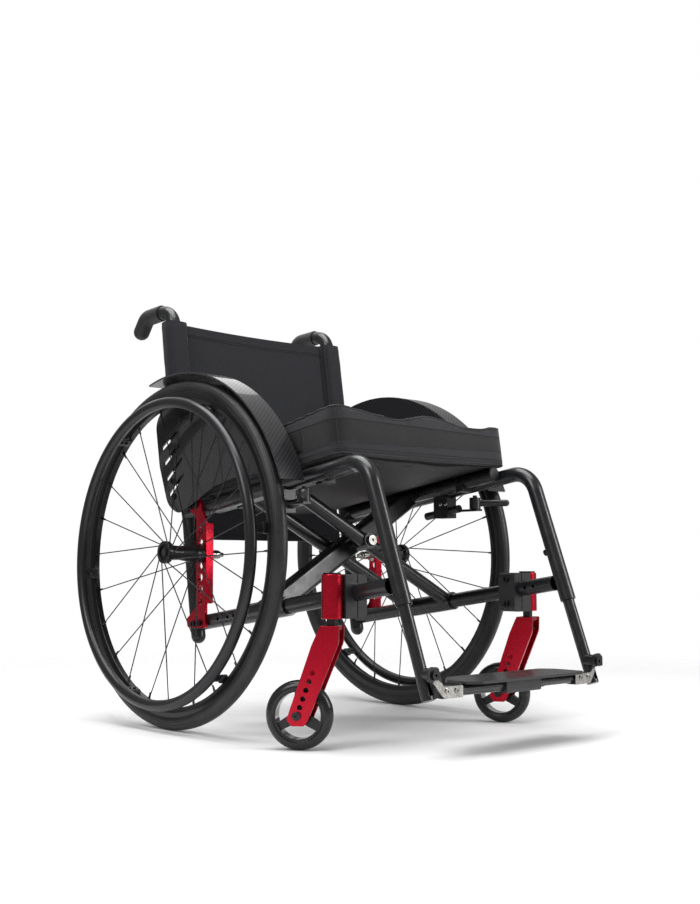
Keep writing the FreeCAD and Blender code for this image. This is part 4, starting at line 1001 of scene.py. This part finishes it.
def seat_sling():
    """Seat fabric over both rails, hanging between them, with hems at the front and rear."""
    across, _, up, rail = rail_line()
    low, high = seat_span("seat_sling")
    front, rear = high[1], low[1]
    thick = 2.2 * MM
    radius = rail + 0.5 * MM + thick / 2
    wrap = math.radians(58)
    sag = 20 * MM

    def tightened(share):
        """How far the cloth's middle is drawn up towards its front hem."""
        return sag * 0.82 * max(0.0, (share - 0.45) / 0.55) ** 1.5

    line = []
    for i in range(9):
        angle = wrap * (1 - i / 8)
        line.append((-across - radius * math.sin(angle), up + radius * math.cos(angle)))
    steps = 48
    for i in range(1, steps):
        a = 2 * i / steps - 1
        line.append((a * across, up + radius - sag * (1 - a ** 2) ** 1.15))
    line += [(-x, level) for x, level in reversed(line[:9])]
    rows = []
    deep = 60
    for i in range(deep + 1):
        share = i / deep
        f = rear + (front - rear) * share
        near_end = max(0.0, 1 - min(share, 1 - share) * 14)
        row = []
        lift = tightened(share)
        for x, level in line:
            inside = max(0.0, 1 - (x / across) ** 2)
            level += lift * inside ** 1.15
            ripple = 0.9 * MM * math.sin(x * 46 + 3 * share) * inside * (0.4 + near_end)
            row.append(seat_point(x, f, level + ripple - 2.0 * MM * near_end * inside))
        rows.append(row)
    sling = shell("seat_sling_cloth", rows, thick, SLING_CLOTH)
    store(sling, "cloth", seat_places(sling))
    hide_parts("seat_sling")
    hems = []
    for f in (front - 9 * MM, front - 14 * MM, rear + 12 * MM):
        lift = tightened((f - rear) / (front - rear))
        path = []
        for x, level in line[7:-7]:
            inside = max(0.0, 1 - (x / across) ** 2)
            path.append(seat_point(x, f, level + lift * inside ** 1.15 - thick / 2 - 0.1 * MM))
        hems.append(tube(f"sling_stitch_{len(hems)}", path, 0.5 * MM, THREAD, 6))
    stitches = joined("sling_stitching", hems)
    for piece in (sling, stitches):
        bend_with_seat(piece)


seat_sling()

# ------------------------ back


def back_frame():
    """The posts' lean, the back's foot and its height, from the CAD sleeves round the posts."""
    low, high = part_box("back_upholstery")
    points = corners("back_upholstery")
    sleeves = points[np.abs(points[:, 0]) > high.x - 38 * MM]
    foot = sleeves[sleeves[:, 2] < sleeves[:, 2].min() + 6 * MM].mean(0)
    head = sleeves[sleeves[:, 2] > sleeves[:, 2].max() - 6 * MM].mean(0)
    up = Vector((0, head[1] - foot[1], head[2] - foot[2])).normalized()
    base = Vector((0, foot[1], foot[2])) + up * ((low.z - foot[2]) / up.z)
    return base, up, (head[2] - low.z) / up.z, (foot[2] - low.z) / up.z


BACK_FOOT, BACK_UP, BACK_TALL, SLEEVE_BASE = back_frame()
BACK_AHEAD = X.cross(BACK_UP)  # towards the front of the chair


def back_point(x, up, ahead):
    return BACK_FOOT + X * x + BACK_UP * up + BACK_AHEAD * ahead


def back_panel():
    """The panel between the posts, slack in its middle, with stitched hems at its top and bottom."""
    half = 168 * MM
    steps, high = 56, 64

    def slack_at(a, share):
        return 5 * MM * (1 - a * a) * (0.5 + 0.5 * share)

    rows = []
    for i in range(high + 1):
        share = i / high
        up = BACK_TALL * share
        row = []
        for k in range(steps + 1):
            a = 2 * k / steps - 1
            slack = slack_at(a, share)
            crease = 0.5 * MM * math.sin(a * 21 + share * 4) * (1 - share) ** 2
            edge_dip = -2.2 * MM * math.exp(-((1 - abs(a)) / 0.02) ** 2)
            row.append(back_point(a * half, up - 1.5 * MM * (1 - a * a) * share, crease - slack + edge_dip))
        rows.append(row)
    panel = shell("back_panel_cloth", rows, 2.6 * MM, BACK_CLOTH)
    seat = places(panel)
    store(panel, "cloth", np.stack([seat[:, 0], seat @ np.array(BACK_UP), seat[:, 1]], 1))
    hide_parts("back_upholstery")
    lines = []
    for up, lift in ((BACK_TALL - 16 * MM, 1), (BACK_TALL - 20 * MM, 1), (14 * MM, 0)):
        for ahead in (2.0 * MM, -2.0 * MM):
            path = []
            for k in range(41):
                a = 2 * k / 40 - 1
                share = up / BACK_TALL
                drop = 1.5 * MM * (1 - a * a) * share
                path.append(back_point(a * half * 0.985, up - drop, ahead * 0.72 - slack_at(a, share)))
            lines.append(tube(f"back_stitch_{len(lines)}", path, 0.45 * MM, THREAD, 6))
    stitches = joined("back_stitching", lines)
    for piece in (panel, stitches):
        ride(piece, "right_frame")
        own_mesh(piece)


back_panel()


def back_sleeve(tag, side):
    """Sleeve round the post, with its front seam, top hem and slight creases; along the seam runs a
    near-black tube, painted shade for the gap between sleeve and panel.
    """
    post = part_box(f"back_post_{tag}")
    post_x = (post[0].x + post[1].x) / 2
    wide, deep, corner = 22 * MM, 14.6 * MM, 11 * MM
    base = SLEEVE_BASE
    tall = BACK_TALL + 1 * MM - base
    loop = []
    for quarter, (sx, sy) in enumerate(((1, 1), (-1, 1), (-1, -1), (1, -1))):
        for i in range(7):
            turn = math.radians(90 * quarter + 90 * i / 6)
            loop.append((sx * (wide - corner) + corner * math.cos(turn), sy * (deep - corner)
                         + corner * math.sin(turn)))
    loop = [tuple(p) for p in spread([Vector((a, b, 0)) for a, b in loop], 2.2 * MM)]
    rows = []
    high_steps = 70
    noise = RNG.uniform(0, 2 * math.pi, 6)
    for i in range(high_steps + 1):
        share = i / high_steps
        up = base + tall * share
        row = []
        for a, b, _ in loop:
            turn = math.atan2(b, a)
            crease = sum(math.sin((3 + n) * share * 6 + noise[n] + turn * (1 + n % 3)) for n in range(6)) / 6
            swell_out = 1 + crease * 0.02 - 0.03 * (share > 0.985)
            row.append(back_point(post_x + a * swell_out, up, b * swell_out))
        rows.append(row)
    sleeve = shell(f"back_sleeve_{tag}", rows, 1.6 * MM, BACK_CLOTH, closed=True)
    points = places(sleeve)
    local = points - np.array(BACK_FOOT)
    around = np.arctan2(local @ np.array(BACK_AHEAD), points[:, 0] - post_x) * 18 * MM
    store(sleeve, "cloth", np.stack([around, local @ np.array(BACK_UP), points[:, 1]], 1))
    ride(sleeve, f"{tag}_frame")
    # a near-black tube down the sleeve's inner edge: painted shade in the gap beside the panel; the thin tube
    # after it is the real stitch line
    shade_strip_x = post_x - side * (wide - 1.2 * MM)
    seam = [back_point(shade_strip_x, base + tall * i / 30, deep * 0.55) for i in range(31)]
    stitch_x = post_x - side * (wide - 6 * MM)
    stitch = [back_point(stitch_x, base + tall * i / 30, deep + 0.75 * MM) for i in range(31)]
    edges = [tube(f"sleeve_seam_{tag}", seam, 2.0 * MM, SEAM_SHADE_PAINT, 10),
             tube(f"sleeve_stitch_{tag}", stitch, 0.45 * MM, THREAD, 6)]
    ride(joined(f"back_sleeve_seams_{tag}", edges), f"{tag}_frame")


for tag, side in SIDES.items():
    back_sleeve(tag, side)

# ------------------------ stage, light and camera


def stage():
    floor = rounded_block("studio_floor", Matrix.Translation((0, 0, -0.01)), (14, 14, 0.01), 0.001,
                          floor_material())


FLOOR_SOLID, FLOOR_GONE = 0.75, 1.9  # metres from the middle of the chair


def floor_material():
    """A near-white floor that thins out to the white world behind it, so no horizon shows."""
    paint = Paint("studio_floor", (0.86, 0.86, 0.87), 0.6, specular=0.2)
    cloud = paint.range(paint.noise(paint.place(), 3), 0.0, 1.0, 0.3, 0.7)
    paint.colour(paint.mix(cloud, (0.85, 0.85, 0.86), (0.88, 0.88, 0.885)))
    where = paint.parts(paint.place())
    far = paint.math("SQRT", paint.math("ADD", paint.math("MULTIPLY", where[0], where[0]),
                                        paint.math("MULTIPLY", where[1], where[1])))
    gone = paint.node("ShaderNodeMapRange", interpolation_type="SMOOTHSTEP")
    paint.link(far, gone.inputs["Value"])
    gone.inputs["From Min"].default_value = FLOOR_SOLID
    gone.inputs["From Max"].default_value = FLOOR_GONE
    clear = paint.node("ShaderNodeBsdfTransparent")
    blend = paint.node("ShaderNodeMixShader")
    paint.link(gone.outputs["Result"], blend.inputs[0])
    paint.link(paint.shader.outputs[0], blend.inputs[1])
    paint.link(clear.outputs[0], blend.inputs[2])
    paint.link(blend.outputs[0], paint.tree.nodes["Material Output"].inputs["Surface"])
    return paint.material


def area_light(name, place, target, size, power):
    data = bpy.data.lights.new(name, "AREA")
    data.shape = "RECTANGLE"
    data.size, data.size_y = size
    data.energy = power
    light = added(name, data)
    light.location = place
    light.rotation_euler = (Vector(target) - Vector(place)).to_track_quat("-Z", "Y").to_euler()


WORLD_AS_LIGHT, WORLD_AS_SEEN = 0.30, 1.0


def world():
    """White to the eye, and dimmer as a light so that black parts stay black."""
    scene_world = bpy.data.worlds.new("studio")
    bpy.context.scene.world = scene_world
    scene_world.use_nodes = True
    tree = scene_world.node_tree
    background = tree.nodes["Background"]
    background.inputs["Color"].default_value = (1, 1, 1, 1)
    path = tree.nodes.new("ShaderNodeLightPath")
    level = tree.nodes.new("ShaderNodeMapRange")
    level.inputs["To Min"].default_value = WORLD_AS_LIGHT
    level.inputs["To Max"].default_value = WORLD_AS_SEEN
    tree.links.new(path.outputs["Is Camera Ray"], level.inputs["Value"])
    tree.links.new(level.outputs["Result"], background.inputs["Strength"])


LENS, SENSOR = 48.14, 36  # mm
YAW, PITCH, ROLL = 42.09, 5.42, -0.19  # degrees
CAMERA_X, CAMERA_BEFORE_AXLE, CAMERA_Z = -1.4225, 1.7315, 0.2703


def camera():
    """The fitted camera, which follows the rear axle's place along the chair."""
    data = bpy.data.cameras.new("camera")
    data.lens = LENS
    data.sensor_width = SENSOR
    view = added("camera", data)
    axle = joint_frame("left_wheel_spin").translation.y
    yaw, pitch, roll = math.radians(YAW), math.radians(PITCH), math.radians(ROLL)
    ahead = Vector((math.sin(yaw) * math.cos(pitch), math.cos(yaw) * math.cos(pitch), math.sin(pitch)))
    turn = ahead.to_track_quat("-Z", "Y").to_matrix() @ Matrix.Rotation(roll, 3, "Z")
    place = Matrix.Translation((CAMERA_X, -CAMERA_BEFORE_AXLE + axle, CAMERA_Z))
    view.matrix_world = place @ turn.to_4x4()
    bpy.context.scene.camera = view


# name, place, target, size and power in watts
LIGHTS = [("overhead", (-0.3, 0.1, 2.6), (0, 0, 0.3), (2.2, 1.8), 78),
          ("key", (-2.2, -0.3, 1.9), (0, 0, 0.35), (1.0, 1.2), 26),
          ("fill", (1.5, -2.4, 1.3), (0, 0, 0.3), (0.8, 1.8), 46),
          ("behind", (0.8, 2.2, 2.2), (0, 0, 0.4), (2.4, 1.6), 12)]

stage()
world()
for light in LIGHTS:
    area_light(*light)
camera()
bpy.context.scene.view_settings.view_transform = "Standard"
